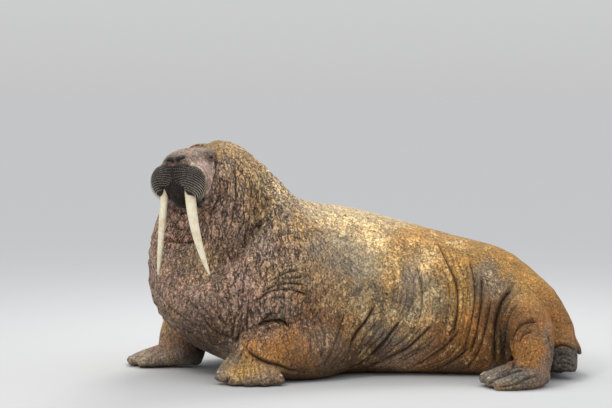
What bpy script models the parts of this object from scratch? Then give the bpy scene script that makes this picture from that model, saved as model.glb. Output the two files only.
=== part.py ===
"""Adult male walrus hauled out on a beach, propped on its foreflippers: a still, life-size model.

Metres, +Z up. The animal's tail end points to +X and its head turns towards -X and -Y.
The soft body is lofted part by part, run together into one skin, creased, and then parted by
thin cuts into head, neck, chest, torso, hips, tail and flippers. The finished model is moved
so that the middle of its footprint is the origin and it rests on z = 0.
"""
import math

import bmesh
import bpy
import numpy as np
from mathutils import Matrix, Vector
from mathutils.bvhtree import BVHTree

# Driving dimensions of a large adult male
TUSK_LENGTH = 0.47
TUSK_DEPTH = 0.062
TUSK_WIDTH = 0.044
TUSK_TWIST = math.radians(-45.0)
EYE_RADIUS = 0.0165
LID_THICKNESS = 0.005
WHISKER_LENGTH = 0.030
WHISKER_WIDTH = 0.0056
CLAW_LENGTH = 0.022
GAP = 0.0003

# Resolution of the fused body
VOXEL = 0.0075
SMOOTHING = 12
HEAD_SMOOTHING = 22
BODY_TRIANGLES = 7600

# The trunk from the rump to the nape: back line, belly line and half width of each station
TRUNK = [
    ((1.505, 0.20, 0.20), (1.495, 0.20, 0.12), 0.04),
    ((1.480, 0.21, 0.29), (1.455, 0.20, 0.05), 0.14),
    ((1.405, 0.24, 0.425), (1.37, 0.22, 0.01), 0.22),
    ((1.28, 0.29, 0.555), (1.26, 0.27, -0.015), 0.29),
    ((1.09, 0.36, 0.685), (1.08, 0.34, -0.02), 0.37),
    ((0.82, 0.43, 0.757), (0.84, 0.41, -0.02), 0.44),
    ((0.54, 0.49, 0.832), (0.58, 0.48, -0.02), 0.50),
    ((0.28, 0.50, 0.903), (0.28, 0.50, -0.02), 0.53),
    ((0.08, 0.47, 0.935), (-0.02, 0.47, -0.02), 0.55),
    ((-0.04, 0.42, 0.96), (-0.28, 0.38, 0.00), 0.55),
    ((-0.13, 0.36, 1.02), (-0.52, 0.22, 0.12), 0.52),
    ((-0.20, 0.30, 1.10), (-0.68, 0.08, 0.30), 0.48),
    ((-0.28, 0.25, 1.18), (-0.755, -0.01, 0.50), 0.42),
    ((-0.36, 0.20, 1.245), (-0.745, -0.03, 0.70), 0.345),
    ((-0.44, 0.14, 1.29), (-0.71, -0.02, 0.86), 0.275),
    ((-0.51, 0.08, 1.30), (-0.66, 0.02, 0.98), 0.205),
    ((-0.55, 0.05, 1.24), (-0.60, 0.04, 1.10), 0.09),
]

# The head's own frame: forward, left and up from the point between the eyes
HEAD_CENTRE = Vector((-0.611, -0.086, 1.204))
HEAD_TURN = math.radians(30.0)
HEAD_RAISE = math.radians(8.0)
HEAD_ROLL = math.radians(3.0)

# The head along its own axis: top point (x, z), bottom point (x, z) and half width
HEAD_STATIONS = [
    ((-0.22, 0.020), (-0.18, -0.30), 0.14),
    ((-0.14, 0.064), (-0.11, -0.31), 0.140),
    ((-0.07, 0.068), (-0.05, -0.29), 0.132),
    ((-0.02, 0.060), (0.00, -0.275), 0.126),
    ((0.03, 0.049), (0.045, -0.262), 0.122),
    ((0.08, 0.034), (0.085, -0.248), 0.120),
    ((0.125, 0.018), (0.12, -0.225), 0.112),
    ((0.165, 0.000), (0.148, -0.19), 0.098),
    ((0.188, -0.026), (0.172, -0.16), 0.074),
    ((0.197, -0.060), (0.190, -0.12), 0.040),
]

# The lip line in the head's frame, from the middle of the upper lip back to one corner
LIP_LINE = [
    (0.200, 0.000, -0.142), (0.195, 0.032, -0.152), (0.180, 0.058, -0.182),
    (0.150, 0.068, -0.212), (0.105, 0.080, -0.236), (0.060, 0.100, -0.250),
]
EYE_PLACE = (-0.006, 0.104, 0.006)
TUSK_ROOT = (0.138, 0.079, -0.160)
NOSTRIL_PLACE = (0.196, 0.021, -0.020)
NOSTRIL_RADII = (0.022, 0.0065, 0.013)

# The crease behind the head: where it crosses the crown, and how far it leans forwards on its
# way down to the throat
NAPE_PLACE = (-0.066, 0.0, 0.07)
NAPE_LEAN = math.radians(16.0)
HEAD_HALF_WIDTH = 0.190
HEAD_BELOW_NAPE = 0.415

# Folds that ring the trunk: a point, the direction across the fold, and its width, depth,
# height above the floor where it fades out, and how far it wanders
TRUNK_FOLDS = [
    ((0.94, 0.4, 0.4), (1.0, 0.05, -0.10), 0.024, 0.016, 0.66, 0.030),
    ((1.07, 0.4, 0.3), (1.0, 0.0, 0.16), 0.024, 0.016, 0.52, 0.025),
    ((0.74, 0.4, 0.3), (1.0, 0.0, -0.22), 0.024, 0.009, 0.42, 0.030),
    ((0.35, 0.4, 0.3), (1.0, 0.0, -0.85), 0.026, 0.009, 0.40, 0.030),
    ((-0.33, 0.2, 0.78), (0.62, 0.30, 0.72), 0.026, 0.010, 1.06, 0.040),
    ((-0.58, 0.05, 0.82), (0.32, 0.16, 0.93), 0.020, 0.010, 1.15, 0.020),
]

# Creases along the skin where a limb leaves the body, as points near the surface
CREASES = {
    "left_armpit": ([(-0.39, -0.10, 0.26), (-0.28, -0.16, 0.335), (-0.14, -0.18, 0.335),
                     (-0.03, -0.16, 0.27)], 0.014, 0.024),
    "left_wrist": ([(-0.34, -0.20, 0.19), (-0.24, -0.22, 0.135), (-0.13, -0.23, 0.095),
                    (-0.02, -0.22, 0.07)], 0.012, 0.018),
    "left_thigh": ([(1.23, -0.05, 0.35), (1.15, -0.12, 0.30), (1.125, -0.16, 0.20),
                    (1.13, -0.18, 0.10)], 0.014, 0.022),
    "left_knee": ([(1.24, -0.10, 0.30), (1.17, -0.16, 0.24)], 0.010, 0.010),
    "right_armpit": ([(-0.80, 0.28, 0.33), (-0.70, 0.42, 0.26), (-0.55, 0.50, 0.15)],
                     0.014, 0.016),
}


def frame_from(origin, forward, up):
    """A matrix whose X is forward, Y is left and Z is up, at the origin given."""
    x = Vector(forward).normalized()
    y = Vector(up).cross(x).normalized()
    z = x.cross(y)
    turned = Matrix((x, y, z)).transposed().to_4x4()
    return Matrix.Translation(origin) @ turned


def head_frame():
    forward = Vector((-math.sin(HEAD_TURN), -math.cos(HEAD_TURN), math.tan(HEAD_RAISE)))
    level = frame_from(HEAD_CENTRE, forward, (0, 0, 1))
    return level @ Matrix.Rotation(HEAD_ROLL, 4, "X")


HEAD = head_frame()
NAPE = HEAD @ Matrix.Translation(NAPE_PLACE) @ Matrix.Rotation(-NAPE_LEAN, 4, "Y")


def smooth_table(rows, count):
    """Catmull-Rom samples through the rows of a table, count of them, evenly spaced along it."""
    rows = np.array(rows, float)
    padded = np.vstack([2 * rows[0] - rows[1], rows, 2 * rows[-1] - rows[-2]])
    out = []
    for t in np.linspace(0, len(rows) - 1, count):
        i = min(int(t), len(rows) - 2)
        u = t - i
        a, b, c, d = padded[i : i + 4]
        out.append(0.5 * (2 * b + (c - a) * u + (2 * a - 5 * b + 4 * c - d) * u * u
                          + (3 * b - a - 3 * c + d) * u ** 3))
    return np.array(out)


def object_from(name, verts, faces):
    mesh = bpy.data.meshes.new(name)
    mesh.from_pydata([tuple(v) for v in verts], [], faces)
    obj = bpy.data.objects.new(name, mesh)
    bpy.context.scene.collection.objects.link(obj)
    bm = bmesh.new()
    bm.from_mesh(mesh)
    bmesh.ops.recalc_face_normals(bm, faces=bm.faces)
    bm.to_mesh(mesh)
    bm.free()
    return obj


def skin_rings(name, rings):
    """A closed loft through rings of equal point counts, with a pole at each end."""
    count = len(rings[0])
    verts = [np.mean(rings[0], axis=0)] + [p for ring in rings for p in ring]
    verts.append(np.mean(rings[-1], axis=0))
    faces = []
    for j in range(count):
        k = (j + 1) % count
        faces.append((0, 1 + k, 1 + j))
        for i in range(len(rings) - 1):
            a = 1 + i * count
            b = a + count
            faces.append((a + j, a + k, b + k, b + j))
        last = 1 + (len(rings) - 1) * count
        faces.append((last + j, last + k, len(verts) - 1))
    return object_from(name, verts, faces)


def loft_between(name, stations, squareness=2.0, rings=60, points=56):
    """A loft whose rings stand on a top line and a bottom line, with a half width."""
    rows = [(*top, *bottom, half) for top, bottom, half in stations]
    table = smooth_table(rows, rings)
    middle = (table[:, 0:3] + table[:, 3:6]) / 2
    ahead = np.gradient(middle, axis=0)
    power = 2.0 / squareness
    made = []
    for row, centre, along in zip(table, middle, ahead):
        up = (row[0:3] - row[3:6]) / 2
        side = np.cross(up, along)
        side *= max(row[6], 0.002) / max(np.linalg.norm(side), 1e-9)
        ring = []
        for k in range(points):
            c = math.cos(2 * math.pi * k / points)
            s = math.sin(2 * math.pi * k / points)
            ring.append(centre + side * math.copysign(abs(c) ** power, c)
                        + up * math.copysign(abs(s) ** power, s))
        made.append(ring)
    return skin_rings(name, made)


def limb(name, stations, rings=30, points=28):
    """A loft along a path: each station has a centre, a half width, a half depth, and the
    direction of the width."""
    rows = [(*centre, wide, deep, *across) for centre, wide, deep, across in stations]
    table = smooth_table(rows, rings)
    ahead = np.gradient(table[:, 0:3], axis=0)
    made = []
    for row, along in zip(table, ahead):
        along = along / np.linalg.norm(along)
        across = row[5:8] - along * np.dot(row[5:8], along)
        across /= np.linalg.norm(across)
        flat = np.cross(along, across)
        wide, deep = max(row[3], 0.002), max(row[4], 0.002)
        made.append([row[0:3] + across * wide * math.cos(a) + flat * deep * math.sin(a)
                     for a in np.linspace(0, 2 * math.pi, points, endpoint=False)])
    return skin_rings(name, made)


def ellipsoid(name, frame, centre, radii, turn=(0, 0, 0), segments=40):
    bpy.ops.mesh.primitive_uv_sphere_add(segments=segments, ring_count=segments // 2, radius=1.0)
    obj = bpy.context.object
    obj.name = name
    turned = Matrix.Translation(centre)
    for axis, angle in zip("XYZ", turn):
        turned = turned @ Matrix.Rotation(math.radians(angle), 4, axis)
    obj.data.transform(frame @ turned @ Matrix.Diagonal((*radii, 1.0)))
    return obj


def trunk():
    return [loft_between("trunk", TRUNK)]


def head():
    """Skull and snout in one loft, then nose, lower jaw, brows and the two whisker pads."""
    stations = [(HEAD @ Vector((a[0], 0, a[1])), HEAD @ Vector((b[0], 0, b[1])), half)
                for a, b, half in HEAD_STATIONS]
    pieces = [
        loft_between("skull", stations, 2.5, 40, 48),
        ellipsoid("nose", HEAD, (0.146, 0, -0.034), (0.060, 0.068, 0.046), (0, 10, 0)),
        ellipsoid("jaw", HEAD, (0.086, 0, -0.196), (0.086, 0.062, 0.070)),
        ellipsoid("nape", HEAD, (-0.165, 0, -0.055), (0.125, 0.180, 0.140)),
    ]
    for side in (1, -1):
        pieces.append(ellipsoid("pad", HEAD, (0.108, side * 0.092, -0.126),
                                (0.097, 0.084, 0.106), (side * -14, 14, side * 12)))
        pieces.append(ellipsoid("cheek", HEAD, (0.030, side * 0.080, -0.120),
                                (0.105, 0.066, 0.115), (0, 0, side * 14)))
        pieces.append(ellipsoid("brow", HEAD, (-0.030, side * 0.074, 0.016),
                                (0.075, 0.044, 0.040)))
    return pieces


def hand(name, wrist, tips, thick, up):
    """A flipper's hand: one tapered ray for each digit and the web between neighbours."""
    pieces = []
    wrist = Vector(wrist)
    up = Vector(up)
    for tip in tips:
        tip = Vector(tip)
        across = (tip - wrist).cross(up)
        pieces.append(limb(name, [
            (wrist, thick * 1.2, thick * 1.0, across),
            (wrist.lerp(tip, 0.3) + up * 0.012, thick * 1.0, thick * 0.86, across),
            (wrist.lerp(tip, 0.6) + up * 0.012, thick * 0.80, thick * 0.68, across),
            (wrist.lerp(tip, 0.87) + up * 0.006, thick * 0.62, thick * 0.48, across),
            (tip, thick * 0.40, thick * 0.30, across),
        ], 24, 20))
    for a, b in zip(tips, tips[1:]):
        a, b = Vector(a), Vector(b)
        middle = (a + b) / 2
        across = b - a
        spread = across.length / 2
        pieces.append(limb(name, [
            (wrist, thick * 1.1, thick * 0.9, across),
            (wrist.lerp(middle, 0.5) + up * 0.008, spread * 0.75, thick * 0.68, across),
            (wrist.lerp(middle, 0.93) + up * 0.002, spread * 0.92, thick * 0.34, across),
        ], 20, 20))
    return pieces


# Where each digit ends, from the first to the last, and how thick the hand or foot is
HANDS = {
    "left_hand": ((-0.335, -0.085, 0.125), [
        (-0.475, -0.225, 0.026), (-0.395, -0.285, 0.018), (-0.305, -0.305, 0.017),
        (-0.21, -0.30, 0.017), (-0.125, -0.265, 0.018)], 0.062, (0, -0.25, 1)),
    "right_hand": ((-0.735, 0.585, 0.095), [
        (-0.93, 0.49, 0.024), (-1.015, 0.575, 0.018), (-1.03, 0.67, 0.016),
        (-0.98, 0.76, 0.016), (-0.89, 0.82, 0.018)], 0.058, (-0.2, 0, 1)),
    "left_foot": ((1.25, -0.24, 0.085), [
        (0.955, -0.30, 0.022), (0.925, -0.235, 0.034), (0.945, -0.18, 0.034),
        (1.00, -0.125, 0.024)], 0.060, (0, 0, 1)),
    "right_foot": ((1.40, 0.14, 0.075), [
        (1.40, 0.60, 0.020), (1.33, 0.66, 0.018), (1.25, 0.66, 0.018),
        (1.17, 0.62, 0.018)], 0.056, (0, 0, 1)),
}


def foreflippers():
    pieces = []
    # the left arm comes forward out of the flank and bends down at the wrist
    pieces.append(limb("left_arm", [
        ((0.22, 0.22, 0.21), 0.17, 0.17, (0, 0, 1)),
        ((0.06, 0.03, 0.17), 0.175, 0.17, (0, 0, 1)),
        ((-0.12, -0.075, 0.168), 0.158, 0.145, (0, 0, 1)),
        ((-0.26, -0.105, 0.158), 0.118, 0.115, (0, 0, 1)),
        ((-0.355, -0.11, 0.125), 0.078, 0.085, (0, 0, 1)),
    ]))
    # the right arm stands almost upright under the chest, broad from front to back
    pieces.append(limb("right_arm", [
        ((-0.46, 0.44, 0.46), 0.17, 0.15, (1, 0, 0)),
        ((-0.62, 0.50, 0.32), 0.155, 0.115, (1, 0, 0)),
        ((-0.69, 0.54, 0.20), 0.140, 0.095, (1, 0, 0)),
        ((-0.71, 0.57, 0.10), 0.135, 0.090, (1, 0, 0)),
        ((-0.72, 0.58, 0.03), 0.120, 0.085, (1, 0, 0)),
    ]))
    # the inner edge of the right hand, a wedge that the camera side shows
    pieces.append(limb("right_palm", [
        ((-0.70, 0.57, 0.10), 0.10, 0.09, (0, 1, 0)),
        ((-0.80, 0.555, 0.072), 0.085, 0.066, (0, 1, 0)),
        ((-0.90, 0.545, 0.040), 0.075, 0.040, (0, 1, 0)),
    ]))
    return pieces + hand("left_hand", *HANDS["left_hand"]) + hand(
        "right_hand", *HANDS["right_hand"])


def hindflippers():
    pieces = []
    pieces.append(limb("left_leg", [
        ((1.16, 0.16, 0.33), 0.17, 0.16, (1, 0, 0)),
        ((1.23, 0.00, 0.26), 0.145, 0.15, (1, 0, 0)),
        ((1.25, -0.13, 0.18), 0.118, 0.125, (1, 0, 0)),
        ((1.255, -0.21, 0.10), 0.095, 0.105, (1, 0, 0)),
        ((1.25, -0.23, 0.055), 0.085, 0.095, (1, 0, 0)),
    ]))
    # the outer digit and heel of the left foot, the widest edge of the sole
    pieces.append(limb("left_sole", [
        ((1.30, -0.21, 0.060), 0.055, 0.060, (0, 1, 0)),
        ((1.22, -0.29, 0.048), 0.062, 0.056, (0, 1, 0)),
        ((1.11, -0.335, 0.034), 0.056, 0.042, (0, 1, 0)),
        ((1.00, -0.345, 0.020), 0.032, 0.024, (0, 1, 0)),
    ]))
    pieces.append(limb("right_leg", [
        ((1.33, 0.26, 0.24), 0.13, 0.13, (1, 0, 0)),
        ((1.39, 0.14, 0.16), 0.105, 0.11, (1, 0, 0)),
        ((1.405, 0.08, 0.085), 0.082, 0.082, (1, 0, 0)),
        ((1.40, 0.075, 0.04), 0.070, 0.070, (1, 0, 0)),
    ]))
    return pieces + hand("left_foot", *HANDS["left_foot"]) + hand(
        "right_foot", *HANDS["right_foot"])


def tail():
    """The short flat tail that hangs behind the rump."""
    return [limb("tail", [
        ((1.42, 0.20, 0.24), 0.080, 0.050, (0, 1, 0)),
        ((1.475, 0.20, 0.19), 0.060, 0.032, (0, 1, 0)),
        ((1.512, 0.20, 0.145), 0.046, 0.020, (0, 1, 0)),
        ((1.528, 0.20, 0.105), 0.028, 0.012, (0, 1, 0)),
    ])]


def apply_modifiers(obj):
    bpy.context.view_layer.objects.active = obj
    for modifier in list(obj.modifiers):
        bpy.ops.object.modifier_apply(modifier=modifier.name)


def fuse(pieces):
    """One closed skin over all the overlapping pieces, lightly smoothed."""
    bpy.ops.object.select_all(action="DESELECT")
    for piece in pieces:
        piece.select_set(True)
    bpy.context.view_layer.objects.active = pieces[0]
    bpy.ops.object.join()
    body = bpy.context.object
    remesh = body.modifiers.new("fuse", "REMESH")
    remesh.mode = "VOXEL"
    remesh.voxel_size = VOXEL
    soften = body.modifiers.new("soften", "SMOOTH")
    soften.factor = 0.5
    soften.iterations = SMOOTHING
    apply_modifiers(body)
    return body


def soften_head(body):
    """More smoothing on the head than on the body, so that its swellings run together."""
    points = points_of(body)
    local = (points - np.array(HEAD_CENTRE)) @ np.array(HEAD.to_3x3())
    shown = np.clip((local[:, 0] + 0.20) / 0.08, 0, 1) * np.clip((local[:, 2] + 0.36) / 0.08, 0, 1)
    group = body.vertex_groups.new(name="head")
    for step in range(1, 11):
        chosen = np.nonzero(np.ceil(shown * 10) == step)[0].tolist()
        group.add(chosen, step / 10, "REPLACE")
    soften = body.modifiers.new("soften", "SMOOTH")
    soften.factor = 0.5
    soften.iterations = HEAD_SMOOTHING
    soften.vertex_group = "head"
    apply_modifiers(body)
    body.vertex_groups.clear()


def points_of(obj):
    flat = np.empty(len(obj.data.vertices) * 3, np.float32)
    obj.data.vertices.foreach_get("co", flat)
    return flat.reshape(-1, 3).astype(float)


def normals_of(obj):
    flat = np.empty(len(obj.data.vertices) * 3, np.float32)
    obj.data.vertices.foreach_get("normal", flat)
    return flat.reshape(-1, 3).astype(float)


def set_points(obj, points):
    obj.data.vertices.foreach_set("co", points.astype(np.float32).ravel())
    obj.data.update()


def wander(points, seed):
    """A slow wave over space, between about -1 and 1."""
    rng = np.random.default_rng(seed)
    total = np.zeros(len(points))
    for wave in (0.55, 0.30, 0.17):
        direction = rng.normal(size=3)
        direction /= np.linalg.norm(direction)
        total += np.sin(points @ direction * 2 * math.pi / wave + rng.uniform(0, 6.28))
    return total / 3


def groove(distance, width):
    """A valley with a low swelling on both sides of it."""
    d = distance / width
    return np.exp(-d * d) - 0.45 * np.exp(-((np.abs(d) - 2.0) / 0.9) ** 2)


def path_distance(points, path, reach):
    """Each point's distance from a smooth path; farther than reach is left at a large value."""
    dense = smooth_table(path, 12 * len(path))
    near = ((points > dense.min(axis=0) - reach) & (points < dense.max(axis=0) + reach)).all(axis=1)
    found = np.full(len(points), 1e3)
    part = points[near]
    best = np.full(len(part), 1e3)
    for a, b in zip(dense, dense[1:]):
        along = b - a
        t = np.clip((part - a) @ along / (along @ along), 0, 1)
        best = np.minimum(best, np.linalg.norm(part - a - t[:, None] * along, axis=1))
    found[near] = best
    return found


def lip_path(side):
    return [tuple(HEAD @ Vector((x, side * y, z))) for x, y, z in LIP_LINE]


def crease(body):
    """Folds of the trunk, the fold behind the head, limb creases and the line of the mouth."""
    points = points_of(body)
    normals = normals_of(body)
    depth = np.zeros(len(points))
    for n, (centre, across, width, deep, fade, wave) in enumerate(TRUNK_FOLDS):
        across = np.array(across) / np.linalg.norm(across)
        distance = (points - centre) @ across + wave * wander(points, n)
        shown = np.clip((fade - points[:, 2]) / 0.12, 0, 1)
        on_trunk = np.abs(normals @ across) < 0.75
        depth += deep * groove(distance, width) * shown * on_trunk
    local = (points - np.array(HEAD_CENTRE)) @ np.array(HEAD.to_3x3())
    behind = (points - np.array(NAPE.translation)) @ np.array(NAPE.col[0][:3])
    around = np.clip((local[:, 2] + 0.36) / 0.08, 0, 1)
    around *= np.clip((HEAD_HALF_WIDTH + 0.02 - np.abs(local[:, 1])) / 0.05, 0, 1)
    depth += 0.014 * groove(behind, 0.016) * around
    for path, width, deep in CREASES.values():
        depth += deep * groove(path_distance(points, path, 0.10), width)
    for side in (1, -1):
        depth += 0.022 * np.exp(-(path_distance(points, lip_path(side), 0.06) / 0.010) ** 2)
    set_points(body, points - normals * depth[:, None])


def thin(body, triangles):
    """Fewer triangles, with the head, hands and feet thinned less than the trunk."""
    points = points_of(body)
    group = body.vertex_groups.new(name="thin")
    local = (points - np.array(HEAD_CENTRE)) @ np.array(HEAD.to_3x3())
    on_head = (local[:, 0] > -0.08) & (local[:, 2] > -0.32) & (np.abs(local[:, 1]) < 0.25)
    on_limb = (points[:, 2] < 0.12) & ((points[:, 1] < -0.08) | (points[:, 0] < -0.75))
    fine = np.nonzero(on_head)[0].tolist()
    middling = np.nonzero(on_limb & ~on_head)[0].tolist()
    coarse = np.nonzero(~on_head & ~on_limb)[0].tolist()
    group.add(fine, 0.6, "REPLACE")
    group.add(middling, 0.6, "REPLACE")
    group.add(coarse, 1.0, "REPLACE")
    body.data.calc_loop_triangles()
    decimate = body.modifiers.new("thin", "DECIMATE")
    decimate.ratio = triangles / len(body.data.loop_triangles)
    decimate.vertex_group = "thin"
    decimate.vertex_group_factor = 1.0
    apply_modifiers(body)


def box(name, frame, low, high, grow=0.0):
    low = Vector(low) - Vector((grow, grow, grow))
    high = Vector(high) + Vector((grow, grow, grow))
    bpy.ops.mesh.primitive_cube_add(size=1.0)
    obj = bpy.context.object
    obj.name = name
    obj.data.transform(frame @ Matrix.Translation((low + high) / 2)
                       @ Matrix.Diagonal((*(high - low), 1.0)))
    return obj


def boolean(obj, other, operation):
    modifier = obj.modifiers.new(operation, "BOOLEAN")
    modifier.operation = operation
    modifier.solver = "EXACT"
    modifier.object = other
    apply_modifiers(obj)
    bpy.data.objects.remove(other)


def union_all(obj, others):
    """One union of the object with a collection of closed pieces, which is then removed."""
    added = bpy.data.collections.new("added")
    for other in others:
        added.objects.link(other)
    modifier = obj.modifiers.new("union", "BOOLEAN")
    modifier.operation = "UNION"
    modifier.solver = "EXACT"
    modifier.operand_type = "COLLECTION"
    modifier.collection = added
    apply_modifiers(obj)
    for other in others:
        bpy.data.objects.remove(other)
    bpy.data.collections.remove(added)


def keep_largest(obj):
    """Only the largest closed surface is kept, merged and split into triangles."""
    bm = bmesh.new()
    bm.from_mesh(obj.data)
    bmesh.ops.remove_doubles(bm, verts=bm.verts, dist=1e-6)
    bmesh.ops.dissolve_degenerate(bm, dist=1e-6, edges=bm.edges)
    left = set(bm.faces)
    largest = set()
    while left:
        shell = set()
        waiting = [left.pop()]
        while waiting:
            face = waiting.pop()
            shell.add(face)
            for edge in face.edges:
                if len(edge.link_faces) != 2:
                    continue
                for other in edge.link_faces:
                    if other in left:
                        left.discard(other)
                        waiting.append(other)
        if len(shell) > len(largest):
            largest = shell
    scraps = [face for face in bm.faces if face not in largest]
    bmesh.ops.delete(bm, geom=scraps, context="FACES")
    bmesh.ops.delete(bm, geom=[v for v in bm.verts if not v.link_faces], context="VERTS")
    bmesh.ops.triangulate(bm, faces=bm.faces)
    bm.to_mesh(obj.data)
    bm.free()


def copy_of(obj, name):
    new = bpy.data.objects.new(name, obj.data.copy())
    bpy.context.scene.collection.objects.link(new)
    return new


def take(body, name, frame, low, high):
    """Cut the piece of the body inside a box off it, leaving a thin gap between them."""
    piece = copy_of(body, name)
    boolean(piece, box("cutter", frame, low, high), "INTERSECT")
    boolean(body, box("cutter", frame, low, high, GAP), "DIFFERENCE")
    keep_largest(piece)
    keep_largest(body)
    return piece


# The boxes that part the body: name, a point on the cut, the direction across it, the box's
# own up, and its low and high corners measured from the point
CUTS = [
    ("foreflipper_left", (0.02, -0.02, 0.16), (-0.80, -0.60, 0.0), (0, 0.2, 1),
     (0.0, -0.5, -0.5), (0.9, 0.36, 0.185)),
    ("foreflipper_right", (-0.62, 0.44, 0.16), (-0.75, 0.65, 0.0), (0, 0.2, 1),
     (0.0, -0.5, -0.5), (0.9, 0.5, 0.17)),
    ("hindflipper_left", (1.364, -0.012, 0.0), (-1, 0, 0), (0, 0, 1),
     (0.0, 0.0, -0.2), (0.514, 0.588, 0.34)),
    ("tail", (1.475, 0.20, 0.19), (0.62, 0, -0.78), (0, 0.2, 1),
     (0.0, -0.085, -0.085), (0.3, 0.085, 0.06)),
    ("hindflipper_right", (1.405, 0.07, 0.0), (-0.22, 0.97, 0.0), (0, 0.2, 1),
     (-0.12, -0.10, -0.2), (0.75, 0.18, 0.125)),
    ("neck", (-0.47, 0.15, 0.86), (-0.55, -0.30, 0.70), (0, 0.2, 1),
     (0.0, -1.0, -1.0), (1.0, 1.0, 1.0)),
    ("chest", (0.09, 0.4, 0.4), (-1, 0, -0.04), (0, 0.2, 1),
     (0.0, -1.2, -1.2), (1.6, 1.2, 1.2)),
    ("torso", (0.80, 0.4, 0.4), (-1, 0, 0.10), (0, 0.2, 1),
     (0.0, -1.2, -1.2), (1.6, 1.2, 1.2)),
]


def part_body(body):
    """The body's named parts, each cut off it in turn. What is left over is the hips."""
    nodes = {"head": take(body, "head", NAPE, (0.0, -HEAD_HALF_WIDTH, -HEAD_BELOW_NAPE),
                          (0.6, HEAD_HALF_WIDTH, 0.4))}
    for name, point, across, up, low, high in CUTS:
        nodes[name] = take(body, name, frame_from(Vector(point), across, up), low, high)
    body.name = "hips"
    nodes["hips"] = body
    return nodes


def tusk(name, side):
    """A tusk from inside the upper lip: down, a little outwards, and curving back to its tip."""
    rings = []
    root = Vector((TUSK_ROOT[0], side * TUSK_ROOT[1], TUSK_ROOT[2]))
    turn = Matrix.Rotation(side * TUSK_TWIST, 3, "Z")
    for t in np.linspace(0, 0.995, 14):
        centre = root + Vector((-0.085 * t * t, side * (0.030 * t + 0.056 * t * t),
                                -TUSK_LENGTH * t))
        taper = (1 - t ** 3) ** 0.5 * (1 - 0.30 * t) / 2
        rings.append([np.array(HEAD @ (centre + turn @ Vector((
            TUSK_DEPTH * taper * math.cos(a), TUSK_WIDTH * taper * math.sin(a), 0))))
            for a in np.linspace(0, 2 * math.pi, 14, endpoint=False)])
    obj = skin_rings(name, rings)
    keep_largest(obj)
    return obj


def cut_clear(obj, other):
    """Cut one node back from another, leaving a thin gap round it."""
    grown = copy_of(other, "socket")
    set_points(grown, points_of(grown) + normals_of(grown) * GAP * 2)
    boolean(obj, grown, "DIFFERENCE")
    keep_largest(obj)


def whisker(root, direction, length, width, droop):
    """One bristle: a tapered spine of four sides, bent once, its root under the skin."""
    direction = direction.normalized()
    across = direction.orthogonal().normalized()
    other = direction.cross(across)
    sunk = root - direction * (width * 2.2)
    middle = root + direction * (length * 0.55)
    tip = root + direction * length + droop * length * 0.30
    verts = []
    for centre, radius in ((sunk, width * 0.5), (middle, width * 0.36)):
        for k in range(4):
            a = math.pi * k / 2
            verts.append(centre + across * math.cos(a) * radius + other * math.sin(a) * radius)
    verts.append(tip)
    faces = [(3, 2, 1, 0)]
    for k in range(4):
        n = (k + 1) % 4
        faces.append((k, n, 4 + n))
        faces.append((k, 4 + n, 4 + k))
        faces.append((4 + k, 4 + n, 8))
    return object_from("whisker", verts, faces)


def whiskers(skin):
    """Bristles in curved rows over both whisker pads, set on the skin by rays from inside."""
    tree = BVHTree.FromObject(skin, bpy.context.evaluated_depsgraph_get())
    rng = np.random.default_rng(7)
    turn = HEAD.to_3x3()
    made = []
    for side in (1, -1):
        core = HEAD @ Vector((0.085, side * 0.082, -0.120))
        for row in range(6):
            height = math.radians(16 - 16 * row)
            count = 9 if row < 4 else 7
            for column in range(count):
                swing = math.radians(-18 + 112 * (column + 0.5 * (row % 2)) / count)
                ray = turn @ Vector((math.cos(height) * math.cos(swing),
                                     side * math.cos(height) * math.sin(swing),
                                     math.sin(height)))
                place, normal, _, _ = tree.ray_cast(core, ray)
                if place is None:
                    continue
                inside = HEAD.inverted() @ place
                if abs(inside.y) < 0.016 or (abs(inside.y) < 0.085 and inside.z < -0.140):
                    continue
                lean = normal * 0.6 + turn @ Vector((0.0, side * 0.25, -0.9))
                length = WHISKER_LENGTH * (0.75 + 0.12 * row) * rng.uniform(0.85, 1.15)
                made.append(whisker(place, lean, length, WHISKER_WIDTH,
                                    turn @ Vector((0.2, 0, -1))))
    return made


def eye_centre(side):
    return HEAD @ Vector((EYE_PLACE[0], side * EYE_PLACE[1], EYE_PLACE[2]))


def eyes(skin):
    """Two eyeballs with raised lids round an almond opening."""
    made = {}
    for side, label in ((1, "left"), (-1, "right")):
        tree = BVHTree.FromObject(skin, bpy.context.evaluated_depsgraph_get())
        outward = (HEAD.to_3x3() @ Vector((0.42, side * 0.88, 0.16))).normalized()
        place, _, _, _ = tree.ray_cast(eye_centre(side) - outward * 0.06, outward)
        centre = place - outward * EYE_RADIUS * 0.45
        frame = frame_from(centre, outward, HEAD.to_3x3() @ Vector((0.1, 0, 1)))
        lid_radius = EYE_RADIUS + LID_THICKNESS
        lids = ellipsoid("lids", frame, (0, 0, 0), (lid_radius, lid_radius * 1.12, lid_radius),
                         segments=16)
        union_all(skin, [lids])
        opening = ellipsoid("opening", frame, (EYE_RADIUS * 1.25, 0, 0),
                            (EYE_RADIUS * 0.9, EYE_RADIUS * 0.94, EYE_RADIUS * 0.62), segments=16)
        boolean(skin, opening, "DIFFERENCE")
        socket = ellipsoid("socket", frame, (0, 0, 0), (EYE_RADIUS + GAP * 2,) * 3, segments=16)
        boolean(skin, socket, "DIFFERENCE")
        made["eye_" + label] = ellipsoid("eye_" + label, frame, (0, 0, 0), (EYE_RADIUS,) * 3,
                                         segments=16)
        keep_largest(skin)
    return made


def nostrils(skin):
    """Two crescent nostrils on the front of the nose."""
    for side in (1, -1):
        place = (NOSTRIL_PLACE[0], side * NOSTRIL_PLACE[1], NOSTRIL_PLACE[2])
        cutter = ellipsoid("nostril", HEAD, place, NOSTRIL_RADII,
                           (side * 30, -28, side * 18), segments=16)
        boolean(skin, cutter, "DIFFERENCE")


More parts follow.
